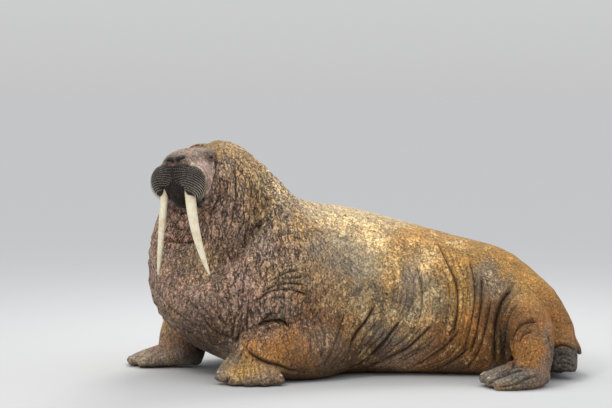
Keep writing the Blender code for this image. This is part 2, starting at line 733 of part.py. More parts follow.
def claws(hand_name, node):
    """A small blunt claw on top of each digit, a little behind its end."""
    wrist, tips, thick, up = HANDS[hand_name]
    tree = BVHTree.FromObject(node, bpy.context.evaluated_depsgraph_get())
    made = []
    for tip in tips:
        along = (Vector(tip) - Vector(wrist)).normalized()
        above = Vector(wrist).lerp(Vector(tip), 0.95) + Vector((0, 0, 0.10))
        place, normal, _, _ = tree.ray_cast(above, Vector((0, 0, -1)))
        if place is None:
            continue
        frame = frame_from(place - normal * 0.002, along, normal)
        made.append(ellipsoid("claw", frame, (0, 0, 0),
                              (CLAW_LENGTH / 2, CLAW_LENGTH * 0.27, CLAW_LENGTH * 0.22),
                              (0, 8, 0), segments=8))
    union_all(node, made)
    keep_largest(node)


SKIN_COLOURS = {
    "head": (0.30, 0.25, 0.21), "neck": (0.32, 0.24, 0.20), "chest": (0.33, 0.25, 0.20),
    "torso": (0.36, 0.29, 0.19), "hips": (0.42, 0.28, 0.13), "tail": (0.33, 0.22, 0.12),
    "foreflipper_left": (0.42, 0.26, 0.14), "foreflipper_right": (0.36, 0.26, 0.20),
    "hindflipper_left": (0.35, 0.24, 0.13), "hindflipper_right": (0.20, 0.19, 0.18),
}


def paint(obj, colour, roughness):
    material = bpy.data.materials.new(obj.name)
    material.use_nodes = True
    shader = material.node_tree.nodes["Principled BSDF"]
    shader.inputs["Base Color"].default_value = (*colour, 1)
    shader.inputs["Roughness"].default_value = roughness
    shader.inputs["Metallic"].default_value = 0.0
    obj.data.materials.clear()
    obj.data.materials.append(material)
    obj.data.shade_smooth()


def clear_scene():
    for obj in list(bpy.data.objects):
        bpy.data.objects.remove(obj)


def centre_on_origin(objects):
    corners = np.array([obj.matrix_world @ v.co for obj in objects for v in obj.data.vertices])
    middle = (corners.min(axis=0) + corners.max(axis=0)) / 2
    shift = Matrix.Translation((-middle[0], -middle[1], 0))
    for obj in objects:
        obj.data.transform(shift)


def main():
    clear_scene()
    body = fuse(trunk() + head() + foreflippers() + hindflippers() + tail())
    soften_head(body)
    crease(body)
    thin(body, BODY_TRIANGLES)
    keep_largest(body)
    floor = box("floor", Matrix.Identity(4), (-3, -3, -1), (3, 3, 0))
    boolean(body, floor, "DIFFERENCE")
    keep_largest(body)
    nodes = part_body(body)
    tusks = {"tusk_left": tusk("tusk_left", 1), "tusk_right": tusk("tusk_right", -1)}
    nostrils(nodes["head"])
    union_all(nodes["head"], whiskers(nodes["head"]))
    keep_largest(nodes["head"])
    eyeballs = eyes(nodes["head"])
    for obj in tusks.values():
        cut_clear(nodes["head"], obj)
    claws("left_hand", nodes["foreflipper_left"])
    claws("right_hand", nodes["foreflipper_right"])
    claws("left_foot", nodes["hindflipper_left"])
    claws("right_foot", nodes["hindflipper_right"])
    for name, obj in nodes.items():
        paint(obj, SKIN_COLOURS[name], 0.75)
    for obj in eyeballs.values():
        paint(obj, (0.02, 0.015, 0.012), 0.1)
    for obj in tusks.values():
        paint(obj, (0.80, 0.72, 0.55), 0.35)
    solids = [*nodes.values(), *eyeballs.values(), *tusks.values()]
    centre_on_origin(solids)
    walrus = bpy.data.collections.new("walrus")
    bpy.context.scene.collection.children.link(walrus)
    for obj in solids:
        for old in list(obj.users_collection):
            old.objects.unlink(obj)
        walrus.objects.link(obj)


if __name__ == "__main__":
    main()
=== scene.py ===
"""Looks of an adult male walrus hauled out on its belly: skin, whiskers, eyes, tusks and claws.

Metres, +Z up, in the frame of the solids. The tail end points to +X, and the head turns
towards -X and -Y.
"""

import math

import bmesh
import bpy
import numpy as np
from mathutils import Matrix, Vector
from mathutils.bvhtree import BVHTree


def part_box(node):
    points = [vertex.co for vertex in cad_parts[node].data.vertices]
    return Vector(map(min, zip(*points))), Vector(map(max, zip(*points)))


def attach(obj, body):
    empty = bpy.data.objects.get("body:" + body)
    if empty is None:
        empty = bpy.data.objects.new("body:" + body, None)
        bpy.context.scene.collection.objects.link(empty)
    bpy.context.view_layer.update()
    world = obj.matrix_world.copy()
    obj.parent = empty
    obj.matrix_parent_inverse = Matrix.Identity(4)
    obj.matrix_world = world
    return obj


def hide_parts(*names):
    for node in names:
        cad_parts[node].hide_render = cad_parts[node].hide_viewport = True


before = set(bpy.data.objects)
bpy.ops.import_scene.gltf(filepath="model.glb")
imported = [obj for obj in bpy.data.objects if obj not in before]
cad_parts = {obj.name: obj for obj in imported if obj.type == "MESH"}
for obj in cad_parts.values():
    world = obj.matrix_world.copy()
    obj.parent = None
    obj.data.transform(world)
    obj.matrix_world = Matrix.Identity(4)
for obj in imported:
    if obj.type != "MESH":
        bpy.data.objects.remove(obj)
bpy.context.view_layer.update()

# Camera. It stands ten metres off at a crouching person's eye height and looks a little down
# at the animal's left side.
SHIFT = Vector((-0.2527, -0.31996, 0.0))
CAMERA_PLACE = Vector((0.0, -10.0, 1.55)) + SHIFT
PICTURE_WIDTH = 612
PICTURE_HEIGHT = 408
FOCAL_PIXELS = 1840.0
TILT = math.atan(109.0 / FOCAL_PIXELS)
SENSOR = 36.0

camera = bpy.data.objects.new("camera", bpy.data.cameras.new("camera"))
bpy.context.scene.collection.objects.link(camera)
camera.data.sensor_width = SENSOR
camera.data.lens = SENSOR * FOCAL_PIXELS / PICTURE_WIDTH
camera.location = CAMERA_PLACE
camera.rotation_euler = (math.pi / 2 - TILT, 0, 0)
camera.data.clip_end = 2000.0
bpy.context.scene.camera = camera
bpy.context.scene.view_settings.view_transform = "Standard"

LOOK_AHEAD = np.array((0.0, math.cos(TILT), -math.sin(TILT)))
LOOK_UP = np.array((0.0, math.sin(TILT), math.cos(TILT)))


def in_picture(points):
    """Where the camera sees points, in pixels from the picture's top left corner."""
    away = points - np.array(CAMERA_PLACE)
    ahead = away @ LOOK_AHEAD
    across = PICTURE_WIDTH / 2 + FOCAL_PIXELS * away[:, 0] / ahead
    down = PICTURE_HEIGHT / 2 - FOCAL_PIXELS * (away @ LOOK_UP) / ahead
    return across, down


# Skin. One thick loose hide over the whole animal: warty on neck, chest and shoulders, in
# heavy folds along the flank, short-furred and smooth over the rump, bare on the flippers.
VOXEL = 0.0052
SMOOTHING = 24
HEAD_SMOOTHING = 44
SKIN_TRIANGLES = 192000
FOLD_DEPTH = 1.2
ROLL_HEIGHT = 0.32
LIP_DEPTH = 0.020
NAPE_DEPTH = 0.019

# The trunk from the rump to the nape: back line, belly line and half width of each station
TRUNK = [
    ((1.505, 0.20, 0.20), (1.495, 0.20, 0.12), 0.04),
    ((1.480, 0.21, 0.29), (1.455, 0.20, 0.05), 0.14),
    ((1.405, 0.24, 0.425), (1.37, 0.22, 0.01), 0.22),
    ((1.28, 0.29, 0.555), (1.26, 0.27, -0.015), 0.29),
    ((1.09, 0.36, 0.685), (1.08, 0.34, -0.02), 0.37),
    ((0.82, 0.43, 0.757), (0.84, 0.41, -0.02), 0.44),
    ((0.54, 0.49, 0.832), (0.58, 0.48, -0.02), 0.50),
    ((0.28, 0.50, 0.903), (0.28, 0.50, -0.02), 0.53),
    ((0.08, 0.47, 0.935), (-0.02, 0.47, -0.02), 0.55),
    ((-0.04, 0.42, 0.96), (-0.28, 0.38, 0.00), 0.55),
    ((-0.13, 0.36, 1.02), (-0.56, 0.21, 0.12), 0.52),
    ((-0.20, 0.30, 1.10), (-0.74, 0.07, 0.30), 0.45),
    ((-0.28, 0.25, 1.18), (-0.775, -0.02, 0.47), 0.345),
    ((-0.36, 0.20, 1.245), (-0.62, -0.03, 0.70), 0.25),
    ((-0.44, 0.14, 1.29), (-0.585, 0.00, 0.86), 0.225),
    ((-0.505, 0.08, 1.298), (-0.60, 0.04, 0.98), 0.175),
    ((-0.54, 0.055, 1.24), (-0.58, 0.05, 1.10), 0.075),
]

# The head's own frame: forward, left and up from the point between the eyes
HEAD_CENTRE = Vector((-0.611, -0.086, 1.204))
HEAD_TURN = math.radians(30.0)
HEAD_RAISE = math.radians(8.0)
HEAD_ROLL = math.radians(3.0)

# The head along its own axis: top point (x, z), bottom point (x, z) and half width
HEAD_STATIONS = [
    ((-0.22, 0.020), (-0.18, -0.30), 0.14),
    ((-0.14, 0.064), (-0.11, -0.31), 0.140),
    ((-0.07, 0.068), (-0.05, -0.29), 0.132),
    ((-0.02, 0.064), (0.00, -0.275), 0.126),
    ((0.03, 0.058), (0.045, -0.262), 0.122),
    ((0.08, 0.047), (0.085, -0.248), 0.120),
    ((0.125, 0.031), (0.12, -0.225), 0.112),
    ((0.165, 0.009), (0.148, -0.19), 0.098),
    ((0.188, -0.026), (0.172, -0.16), 0.074),
    ((0.197, -0.060), (0.190, -0.12), 0.040),
]

# Swellings of the head: centre, radii and turn in degrees in the head's frame; those off the
# middle are made on both sides
HEAD_SWELLINGS = [
    ((0.146, 0, -0.034), (0.060, 0.068, 0.046), (0, 10, 0)),
    ((0.086, 0, -0.196), (0.086, 0.062, 0.070), (0, 0, 0)),
    ((-0.165, 0, -0.055), (0.125, 0.180, 0.140), (0, 0, 0)),
    ((0.108, 0.089, -0.131), (0.096, 0.075, 0.097), (-14, 14, 12)),
    ((0.030, 0.080, -0.120), (0.105, 0.066, 0.115), (0, 0, 14)),
    ((-0.030, 0.074, 0.016), (0.075, 0.044, 0.040), (0, 0, 0)),
]

# Swellings of the trunk: behind the crown, and between the neck and the shoulder
TRUNK_SWELLINGS = [
    ((-0.560, 0.050, 1.174), (0.112, 0.130, 0.115), (0, 0, 0)),
    ((-0.240, 0.170, 0.900), (0.150, 0.190, 0.240), (0, -41, 0)),
]

# The lip line in the head's frame, from the middle of the upper lip back to one corner
LIP_LINE = [
    (0.200, 0.000, -0.142), (0.195, 0.032, -0.152), (0.180, 0.058, -0.182),
    (0.150, 0.068, -0.212), (0.105, 0.080, -0.236), (0.060, 0.100, -0.250),
]
EYE_PLACE = (-0.006, 0.104, 0.006)
TUSK_ROOT = (0.138, 0.079, -0.160)
NAPE_PLACE = (-0.066, 0.0, 0.07)
NAPE_LEAN = math.radians(16.0)

# Limbs: each station has a centre, a half width, a half depth and the width's direction
LIMBS = [
    [((0.22, 0.22, 0.21), 0.17, 0.17, (0, 0, 1)),
     ((0.06, 0.03, 0.17), 0.175, 0.17, (0, 0, 1)),
     ((-0.12, -0.075, 0.168), 0.158, 0.145, (0, 0, 1)),
     ((-0.26, -0.105, 0.158), 0.118, 0.115, (0, 0, 1)),
     ((-0.355, -0.11, 0.125), 0.078, 0.085, (0, 0, 1))],
    [((-0.46, 0.44, 0.46), 0.17, 0.15, (1, 0, 0)),
     ((-0.62, 0.45, 0.32), 0.155, 0.115, (1, 0, 0)),
     ((-0.69, 0.45, 0.20), 0.140, 0.095, (1, 0, 0)),
     ((-0.71, 0.46, 0.10), 0.135, 0.090, (1, 0, 0)),
     ((-0.72, 0.47, 0.03), 0.120, 0.085, (1, 0, 0))],
    [((-0.70, 0.46, 0.09), 0.10, 0.085, (0, 1, 0)),
     ((-0.80, 0.445, 0.058), 0.085, 0.056, (0, 1, 0)),
     ((-0.90, 0.435, 0.034), 0.075, 0.034, (0, 1, 0))],
    [((1.16, 0.16, 0.33), 0.17, 0.16, (1, 0, 0)),
     ((1.22, 0.00, 0.26), 0.140, 0.15, (1, 0, 0)),
     ((1.225, -0.14, 0.18), 0.110, 0.125, (1, 0, 0)),
     ((1.215, -0.23, 0.10), 0.092, 0.105, (1, 0, 0)),
     ((1.21, -0.26, 0.055), 0.085, 0.095, (1, 0, 0))],
    [((1.26, -0.24, 0.060), 0.055, 0.060, (0, 1, 0)),
     ((1.19, -0.33, 0.048), 0.062, 0.056, (0, 1, 0)),
     ((1.09, -0.375, 0.034), 0.056, 0.042, (0, 1, 0)),
     ((0.99, -0.385, 0.020), 0.032, 0.024, (0, 1, 0))],
    [((1.33, 0.26, 0.24), 0.13, 0.13, (1, 0, 0)),
     ((1.39, 0.09, 0.16), 0.105, 0.11, (1, 0, 0)),
     ((1.405, 0.02, 0.085), 0.084, 0.084, (1, 0, 0)),
     ((1.40, 0.01, 0.045), 0.076, 0.074, (1, 0, 0))],
    [((1.42, 0.20, 0.24), 0.080, 0.050, (0, 1, 0)),
     ((1.475, 0.20, 0.19), 0.060, 0.032, (0, 1, 0)),
     ((1.512, 0.20, 0.145), 0.046, 0.020, (0, 1, 0)),
     ((1.528, 0.20, 0.105), 0.028, 0.012, (0, 1, 0))],
]

# Where each digit ends, from the first to the last, and how thick the hand or foot is
HANDS = {
    "left_hand": ((-0.335, -0.085, 0.125), [
        (-0.475, -0.225, 0.026), (-0.395, -0.285, 0.018), (-0.305, -0.305, 0.017),
        (-0.21, -0.30, 0.017), (-0.125, -0.265, 0.018)], 0.062, (0, -0.25, 1)),
    "right_hand": ((-0.735, 0.475, 0.085), [
        (-0.93, 0.38, 0.022), (-1.015, 0.465, 0.017), (-1.03, 0.56, 0.016),
        (-0.98, 0.65, 0.016), (-0.89, 0.71, 0.018)], 0.054, (-0.2, 0, 1)),
    "left_foot": ((1.215, -0.26, 0.085), [
        (0.955, -0.335, 0.022), (0.925, -0.265, 0.034), (0.945, -0.20, 0.034),
        (1.00, -0.14, 0.024)], 0.060, (0, 0, 1)),
    "right_foot": ((1.40, 0.08, 0.075), [
        (1.40, 0.60, 0.020), (1.33, 0.66, 0.018), (1.25, 0.66, 0.018),
        (1.17, 0.62, 0.018)], 0.056, (0, 0, 1)),
}

# Folds on the side that the camera sees, in groups that run the same way. Each group has a
# width, how many finer wrinkles lie between two neighbours, and whether the far side has them
# too; each fold has a depth and the points that it passes through, in picture pixels.
FOLDS = [
    # loins and thigh
    (0.0064, 3, True, [
        (0.005, [(392, 258), (395, 281), (393, 300), (388, 318)]),
        (0.007, [(415, 262), (421, 282), (422, 306), (417, 325)]),
        (0.018, [(434, 236), (447, 261), (456, 282), (458, 301), (456, 322), (451, 339)]),
        (0.012, [(469, 256), (473, 274), (475, 293), (473, 314), (468, 337), (462, 357)]),
        (0.017, [(482, 274), (482, 297), (479, 320), (475, 340), (469, 356)]),
        (0.012, [(491, 300), (488, 318), (482, 343), (475, 358), (467, 369)])]),
    (0.0080, 1, False, [
        (0.024, [(514, 286), (502, 302), (496, 324), (495, 343), (495, 367)]),
        (0.007, [(519, 302), (509, 316), (505, 334), (505, 362)])]),
    # flank, fanning out of the elbow
    (0.0068, 3, True, [
        (0.006, [(322, 368), (333, 350), (339, 332), (345, 312)]),
        (0.018, [(330, 373), (346, 356), (355, 335), (367, 320), (375, 304)]),
        (0.016, [(333, 373), (363, 362), (380, 347), (392, 332), (402, 319)]),
        (0.016, [(362, 371), (386, 360), (407, 349), (422, 335), (434, 323)]),
        (0.012, [(409, 370), (434, 355), (449, 343), (460, 330)]),
        (0.010, [(415, 375), (445, 366), (462, 355), (470, 345)])]),
    # shoulder and armpit
    (0.0080, 0, False, [
        (0.024, [(256, 328), (262, 324), (268, 322), (276, 321), (284, 322), (291, 328)]),
        (0.010, [(262, 323), (267, 317), (274, 313)])]),
    (0.0065, 1, False, [
        (0.013, [(255, 303), (262, 297), (270, 292), (279, 290), (290, 290), (302, 293),
                 (313, 297)]),
        (0.008, [(260, 294), (270, 288), (283, 284), (297, 284), (309, 287)]),
        (0.007, [(268, 282), (279, 277), (289, 272), (302, 270)])]),
    (0.0055, 1, False, [
        (0.009, [(250, 309), (247, 320), (247, 331)]),
        (0.009, [(244, 311), (240, 322), (239, 334), (236, 342)]),
        (0.008, [(237, 312), (234, 324), (232, 338)]),
        (0.005, [(229, 312), (225, 324), (222, 336)])]),
    (0.0060, 1, False, [
        (0.005, [(300, 318), (309, 329), (311, 344), (307, 360)]),
        (0.005, [(314, 312), (323, 326), (325, 344), (320, 362)])]),
    # wrist and hand of the near foreflipper
    (0.0070, 0, False, [
        (0.013, [(246, 348), (252, 355), (262, 361), (276, 365), (288, 370), (301, 372)])]),
    (0.0045, 1, False, [
        (0.004, [(240, 345), (231, 355), (224, 368)]),
        (0.004, [(244, 350), (238, 361), (234, 376)]),
        (0.005, [(248, 354), (244, 366), (243, 382)]),
        (0.004, [(253, 357), (251, 370), (252, 385)]),
        (0.005, [(259, 361), (260, 373), (262, 386)]),
        (0.004, [(267, 364), (270, 374), (272, 384)])]),
    (0.0060, 0, False, [(0.010, [(229, 377), (226.5, 383), (226, 388)])]),
    # chest
    (0.0070, 1, False, [
        (0.005, [(152, 285), (163, 299), (176, 312), (190, 322), (201, 333)]),
        (0.010, [(161, 312), (168, 321), (182, 334), (196, 346), (207, 354)])]),
    (0.0065, 1, False, [
        (0.009, [(183, 296), (198, 310), (210, 327), (221, 334), (237, 341)]),
        (0.005, [(205, 300), (216, 313), (224, 324), (236, 332)])]),
    # throat and the sides of the neck
    (0.0060, 1, False, [
        (0.009, [(172, 209), (179, 213), (187, 213), (198, 209)]),
        (0.008, [(168, 226), (178, 229), (189, 228), (203, 219)]),
        (0.009, [(162, 239), (172, 241.5), (182, 242.5), (194, 241), (208, 234)])]),
    (0.0060, 2, True, [
        (0.007, [(219, 176), (220, 190), (216, 204), (209, 216)]),
        (0.006, [(226, 170), (227, 186), (226, 203), (221, 220)]),
        (0.009, [(235, 164), (236, 182), (236, 200), (232, 222), (225, 240)]),
        (0.006, [(249, 176), (251, 196), (250, 220), (244, 244)]),
        (0.006, [(262, 188), (266, 208), (266, 232), (262, 254)]),
        (0.005, [(276, 200), (281, 220), (281, 242), (278, 262)])]),
    # cheek
    (0.0048, 0, False, [
        (0.015, [(214.5, 170), (213.5, 177), (212, 185), (209, 193), (203.5, 202)])]),
    # near hind leg and foot
    (0.0080, 0, False, [
        (0.022, [(540, 321.5), (528, 321.5), (518, 328), (512.5, 340), (513.5, 352),
                 (514, 362), (511, 370)]),
        (0.010, [(532, 331), (523, 335), (517.5, 343)]),
        (0.014, [(548, 334), (551.5, 350), (551, 366), (550, 380)])]),
    (0.0045, 1, False, [
        (0.006, [(526, 366), (510, 369), (494, 376)]),
        (0.008, [(531, 370), (513, 373), (498, 379), (487, 385)]),
        (0.008, [(541, 375.5), (526, 379), (515, 385), (494, 388)])]),
    (0.0045, 1, False, [
        (0.004, [(528, 346), (521, 357), (518, 368)]),
        (0.004, [(537, 348), (531, 361), (527, 371)])]),
    # far heel
    (0.0060, 0, False, [(0.012, [(552, 350), (556, 346), (563, 344.5), (570, 346.5),
                                 (576, 351)])]),
    (0.0045, 1, False, [
        (0.006, [(556, 356), (564, 354), (573, 357)]),
        (0.006, [(555, 364), (564, 363), (575, 366)]),
        (0.006, [(555, 372), (564, 372), (575, 374)])]),
]


def frame_from(origin, forward, up):
    """A matrix whose X is forward, Y is left and Z is up, at the origin given."""
    x = Vector(forward).normalized()
    y = Vector(up).cross(x).normalized()
    turned = Matrix((x, y, x.cross(y))).transposed().to_4x4()
    return Matrix.Translation(origin) @ turned


HEAD = frame_from(HEAD_CENTRE + SHIFT, (-math.sin(HEAD_TURN), -math.cos(HEAD_TURN),
                                        math.tan(HEAD_RAISE)), (0, 0, 1))
HEAD = HEAD @ Matrix.Rotation(HEAD_ROLL, 4, "X")
NAPE = HEAD @ Matrix.Translation(NAPE_PLACE) @ Matrix.Rotation(-NAPE_LEAN, 4, "Y")
HEAD_AXES = np.array(HEAD.to_3x3())


def smooth_table(rows, count):
    """Catmull-Rom samples through the rows of a table, count of them, evenly spaced along it."""
    rows = np.array(rows, float)
    padded = np.vstack([2 * rows[0] - rows[1], rows, 2 * rows[-1] - rows[-2]])
    out = []
    for t in np.linspace(0, len(rows) - 1, count):
        i = min(int(t), len(rows) - 2)
        u = t - i
        a, b, c, d = padded[i : i + 4]
        out.append(0.5 * (2 * b + (c - a) * u + (2 * a - 5 * b + 4 * c - d) * u * u
                          + (3 * b - a - 3 * c + d) * u ** 3))
    return np.array(out)


def object_from(name, verts, faces):
    mesh = bpy.data.meshes.new(name)
    mesh.from_pydata([tuple(v) for v in verts], [], faces)
    obj = bpy.data.objects.new(name, mesh)
    bpy.context.scene.collection.objects.link(obj)
    bm = bmesh.new()
    bm.from_mesh(mesh)
    bmesh.ops.recalc_face_normals(bm, faces=bm.faces)
    bm.to_mesh(mesh)
    bm.free()
    mesh.shade_smooth()
    return obj


def skin_rings(name, rings):
    """A closed loft through rings of equal point counts, with a pole at each end."""
    count = len(rings[0])
    verts = [np.mean(rings[0], axis=0)] + [p for ring in rings for p in ring]
    verts.append(np.mean(rings[-1], axis=0))
    faces = []
    for j in range(count):
        k = (j + 1) % count
        faces.append((0, 1 + k, 1 + j))
        for i in range(len(rings) - 1):
            a = 1 + i * count
            b = a + count
            faces.append((a + j, a + k, b + k, b + j))
        last = 1 + (len(rings) - 1) * count
        faces.append((last + j, last + k, len(verts) - 1))
    return object_from(name, verts, faces)


def loft_between(name, stations, squareness=2.0, flat=0.0, rings=90, points=80):
    """A loft whose rings stand on a top line and a bottom line, with a half width. Flat makes
    the lower half squarer where the bottom line is on the floor."""
    table = smooth_table([(*top, *bottom, half) for top, bottom, half in stations], rings)
    middle = (table[:, 0:3] + table[:, 3:6]) / 2
    ahead = np.gradient(middle, axis=0)
    made = []
    for row, centre, along in zip(table, middle, ahead):
        lying = flat * min(1.0, max(0.0, 1 - row[5] / 0.3))
        up = (row[0:3] - row[3:6]) / 2
        side = np.cross(up, along)
        side *= max(row[6], 0.002) / max(np.linalg.norm(side), 1e-9)
        angles = 2 * np.pi * np.arange(points) / points
        c, s = np.cos(angles), np.sin(angles)
        power = 2.0 / (squareness + np.where(s < 0, lying, 0.0))
        made.append(centre + np.outer(np.sign(c) * np.abs(c) ** power, side)
                    + np.outer(np.sign(s) * np.abs(s) ** power, up))
    return skin_rings(name, made)


def limb(name, stations, rings=40, points=36):
    """A loft along a path of stations, each an ellipse."""
    rows = [(*(Vector(centre) + SHIFT), wide, deep, *across)
            for centre, wide, deep, across in stations]
    table = smooth_table(rows, rings)
    ahead = np.gradient(table[:, 0:3], axis=0)
    made = []
    for row, along in zip(table, ahead):
        along = along / np.linalg.norm(along)
        across = row[5:8] - along * np.dot(row[5:8], along)
        across /= np.linalg.norm(across)
        flat = np.cross(along, across)
        angles = np.linspace(0, 2 * np.pi, points, endpoint=False)
        made.append(row[0:3] + np.outer(np.cos(angles), across * max(row[3], 0.002))
                    + np.outer(np.sin(angles), flat * max(row[4], 0.002)))
    return skin_rings(name, made)


def ellipsoid(name, place, radii, turn=(0, 0, 0), segments=48):
    bpy.ops.mesh.primitive_uv_sphere_add(segments=segments, ring_count=segments // 2, radius=1.0)
    obj = bpy.context.object
    obj.name = name
    turned = Matrix.Identity(4)
    for axis, angle in zip("XYZ", turn):
        turned = turned @ Matrix.Rotation(math.radians(angle), 4, axis)
    obj.data.transform(place @ turned @ Matrix.Diagonal((*radii, 1.0)))
    obj.data.shade_smooth()
    return obj


def hand(name, wrist, tips, thick, up):
    """A flipper's hand: one tapered ray for each digit and the web between neighbours."""
    pieces = []
    wrist = Vector(wrist)
    up = Vector(up)
    for tip in tips:
        tip = Vector(tip)
        across = (tip - wrist).cross(up)
        pieces.append(limb(name, [
            (wrist, thick * 1.2, thick * 1.0, across),
            (wrist.lerp(tip, 0.3) + up * 0.012, thick * 1.0, thick * 0.86, across),
            (wrist.lerp(tip, 0.6) + up * 0.012, thick * 0.80, thick * 0.68, across),
            (wrist.lerp(tip, 0.87) + up * 0.006, thick * 0.62, thick * 0.48, across),
            (tip, thick * 0.40, thick * 0.30, across),
        ]))
    for a, b in zip(tips, tips[1:]):
        a, b = Vector(a), Vector(b)
        middle = (a + b) / 2
        across = b - a
        spread = across.length / 2
        pieces.append(limb(name, [
            (wrist, thick * 1.1, thick * 0.9, across),
            (wrist.lerp(middle, 0.5) + up * 0.008, spread * 0.75, thick * 0.68, across),
            (wrist.lerp(middle, 0.96) + up * 0.002, spread * 1.0, thick * 0.36, across),
        ]))
    return pieces


def joined(pieces, name):
    """One object from several."""
    bpy.ops.object.select_all(action="DESELECT")
    for piece in pieces:
        piece.select_set(True)
    bpy.context.view_layer.objects.active = pieces[0]
    bpy.ops.object.join()
    bpy.context.object.name = name
    return bpy.context.object


def apply_modifiers(obj):
    bpy.context.view_layer.objects.active = obj
    for modifier in list(obj.modifiers):
        bpy.ops.object.modifier_apply(modifier=modifier.name)


def numbers(items, key, width, kind=np.float32):
    """One row of numbers for each item of a mesh."""
    flat = np.empty(len(items) * width, kind)
    items.foreach_get(key, flat)
    return flat.reshape(-1, width)


def points_of(obj, what="co"):
    return numbers(obj.data.vertices, what, 3).astype(float)


def set_points(obj, points):
    obj.data.vertices.foreach_set("co", points.astype(np.float32).ravel())
    obj.data.update()


def store(obj, name, values, kind="FLOAT"):
    """Keep a number, a vector or a colour for each vertex, as a named attribute."""
    key = {"FLOAT": "value", "FLOAT_VECTOR": "vector", "FLOAT_COLOR": "color"}[kind]
    layer = obj.data.attributes.new(name, kind, "POINT")
    layer.data.foreach_set(key, np.array(values, np.float32).ravel())


def smoothed(obj, iterations, weights=None):
    """Smooth an object's surface, everywhere or by a weight for each vertex."""
    soften = obj.modifiers.new("soften", "SMOOTH")
    soften.factor = 0.5
    soften.iterations = iterations
    if weights is not None:
        weigh(obj, "soften", weights)
        soften.vertex_group = "soften"
    apply_modifiers(obj)
    obj.vertex_groups.clear()


def weigh(obj, name, weights, steps=20):
    """A vertex group that holds the weights, in steps."""
    group = obj.vertex_groups.new(name=name)
    stepped = np.round(np.clip(weights, 0, 1) * steps).astype(int)
    for step in range(1, steps + 1):
        group.add(np.nonzero(stepped == step)[0].tolist(), step / steps, "REPLACE")


def ease(low, high, values):
    """0 below low, 1 above high, and a smooth rise between."""
    t = np.clip((values - low) / (high - low), 0, 1)
    return t * t * (3 - 2 * t)


def lattice(cells, seed):
    """A number from 0 to 1 for each cell of a grid, the same each time."""
    mixed = (cells[..., 0] * 73856093) ^ (cells[..., 1] * 19349663) ^ (cells[..., 2] * 83492791)
    mixed = (mixed ^ (seed * 2654435761)) & 0x7FFFFFFF
    mixed = (mixed ^ (mixed >> 13)) * 1274126177 & 0x7FFFFFFF
    mixed = (mixed ^ (mixed >> 16)) * 60493 & 0x7FFFFFFF
    return (mixed % 100003) / 100003.0


def noise(points, size, seed, octaves=3):
    """Smooth noise from about -1 to 1, with features of the size given."""
    total = np.zeros(len(points))
    for octave in range(octaves):
        scaled = points / (size / 2 ** octave) + 57.3
        cell = np.floor(scaled).astype(np.int64)
        u = scaled - cell
        u = u * u * (3 - 2 * u)
        value = np.zeros(len(points))
        for dx in (0, 1):
            for dy in (0, 1):
                for dz in (0, 1):
                    near = lattice(cell + (dx, dy, dz), seed + octave)
                    share = (np.abs(1 - dx - u[:, 0]) * np.abs(1 - dy - u[:, 1])
                             * np.abs(1 - dz - u[:, 2]))
                    value += near * share
        total += (value * 2 - 1) / 2 ** octave
    return total / 1.4


def domes(points, size, seed, share=0.8):
    """Scattered round swellings of mixed sizes up to about the size given, from 0 to 1."""
    scaled = points / size + 31.7
    cell = np.floor(scaled).astype(np.int64)
    height = np.zeros(len(points))
    for dx in (-1, 0, 1):
        for dy in (-1, 0, 1):
            for dz in (-1, 0, 1):
                near = cell + (dx, dy, dz)
                centre = near + np.stack([lattice(near, seed + k) for k in range(3)], axis=1)
                radius = 0.35 + 0.45 * lattice(near, seed + 5)
                away = np.linalg.norm(centre - scaled, axis=1) / radius
                dome = np.clip(1 - away * away, 0, 1) ** 1.5 * (0.4 + 0.6 * lattice(near, seed + 6))
                height = np.maximum(height, dome * (lattice(near, seed + 7) < share))
    return height


def near_path(points, path, reach):
    """Each point's distance from a path of points, and how far along the path it lies."""
    if len(path) < 2:
        return np.full(len(points), 9.0), np.zeros(len(points))
    close = ((points > path.min(axis=0) - reach) & (points < path.max(axis=0) + reach)).all(axis=1)
    away = np.full(len(points), 9.0)
    where = np.zeros(len(points))
    part = points[close]
    best = np.full(len(part), 9.0)
    along_at = np.zeros(len(part))
    for i, (a, b) in enumerate(zip(path, path[1:])):
        along = b - a
        if along @ along > 0.004:
            continue
        t = np.clip((part - a) @ along / max(along @ along, 1e-12), 0, 1)
        distance = np.linalg.norm(part - a - t[:, None] * along, axis=1)
        closer = distance < best
        best = np.where(closer, distance, best)
        along_at = np.where(closer, (i + t) / (len(path) - 1), along_at)
    away[close] = best
    where[close] = along_at
    return away, where


def surface_tree(obj):
    return BVHTree.FromObject(obj, bpy.context.evaluated_depsgraph_get())


def seen_path(tree, pixels):
    """The path on the surface under picture points, as the camera sees it."""
    found = []
    for x, y in pixels:
        ray = (Vector(LOOK_AHEAD) + Vector((1, 0, 0)) * ((x - PICTURE_WIDTH / 2) / FOCAL_PIXELS)
               - Vector(LOOK_UP) * ((y - PICTURE_HEIGHT / 2) / FOCAL_PIXELS))
        place, _, _, _ = tree.ray_cast(CAMERA_PLACE, ray.normalized())
        if place is not None:
            found.append(place)
    return np.array(found)


TRUNK_MIDDLE = np.array([((a[0] + b[0]) / 2, (a[1] + b[1]) / 2) for a, b, _ in TRUNK])
TRUNK_MIDDLE += (SHIFT.x, SHIFT.y)


def mirrored(points):
    """Points reflected in the trunk's upright middle surface."""
    order = np.argsort(TRUNK_MIDDLE[:, 0])
    middle = np.interp(points[:, 0], TRUNK_MIDDLE[order, 0], TRUNK_MIDDLE[order, 1])
    turned = points.copy()
    turned[:, 1] = 2 * middle - points[:, 1]
    return turned


def to_head(points):
    return (points - np.array(HEAD.translation)) @ HEAD_AXES


def both_sides(row):
    """A swelling of the head, and its mirror image where it lies off the middle."""
    place, radii, turn = row
    yield place, radii, turn
    if place[1]:
        yield (place[0], -place[1], place[2]), radii, (-turn[0], turn[1], -turn[2])


def head_point(p):
    return HEAD @ Vector(p)


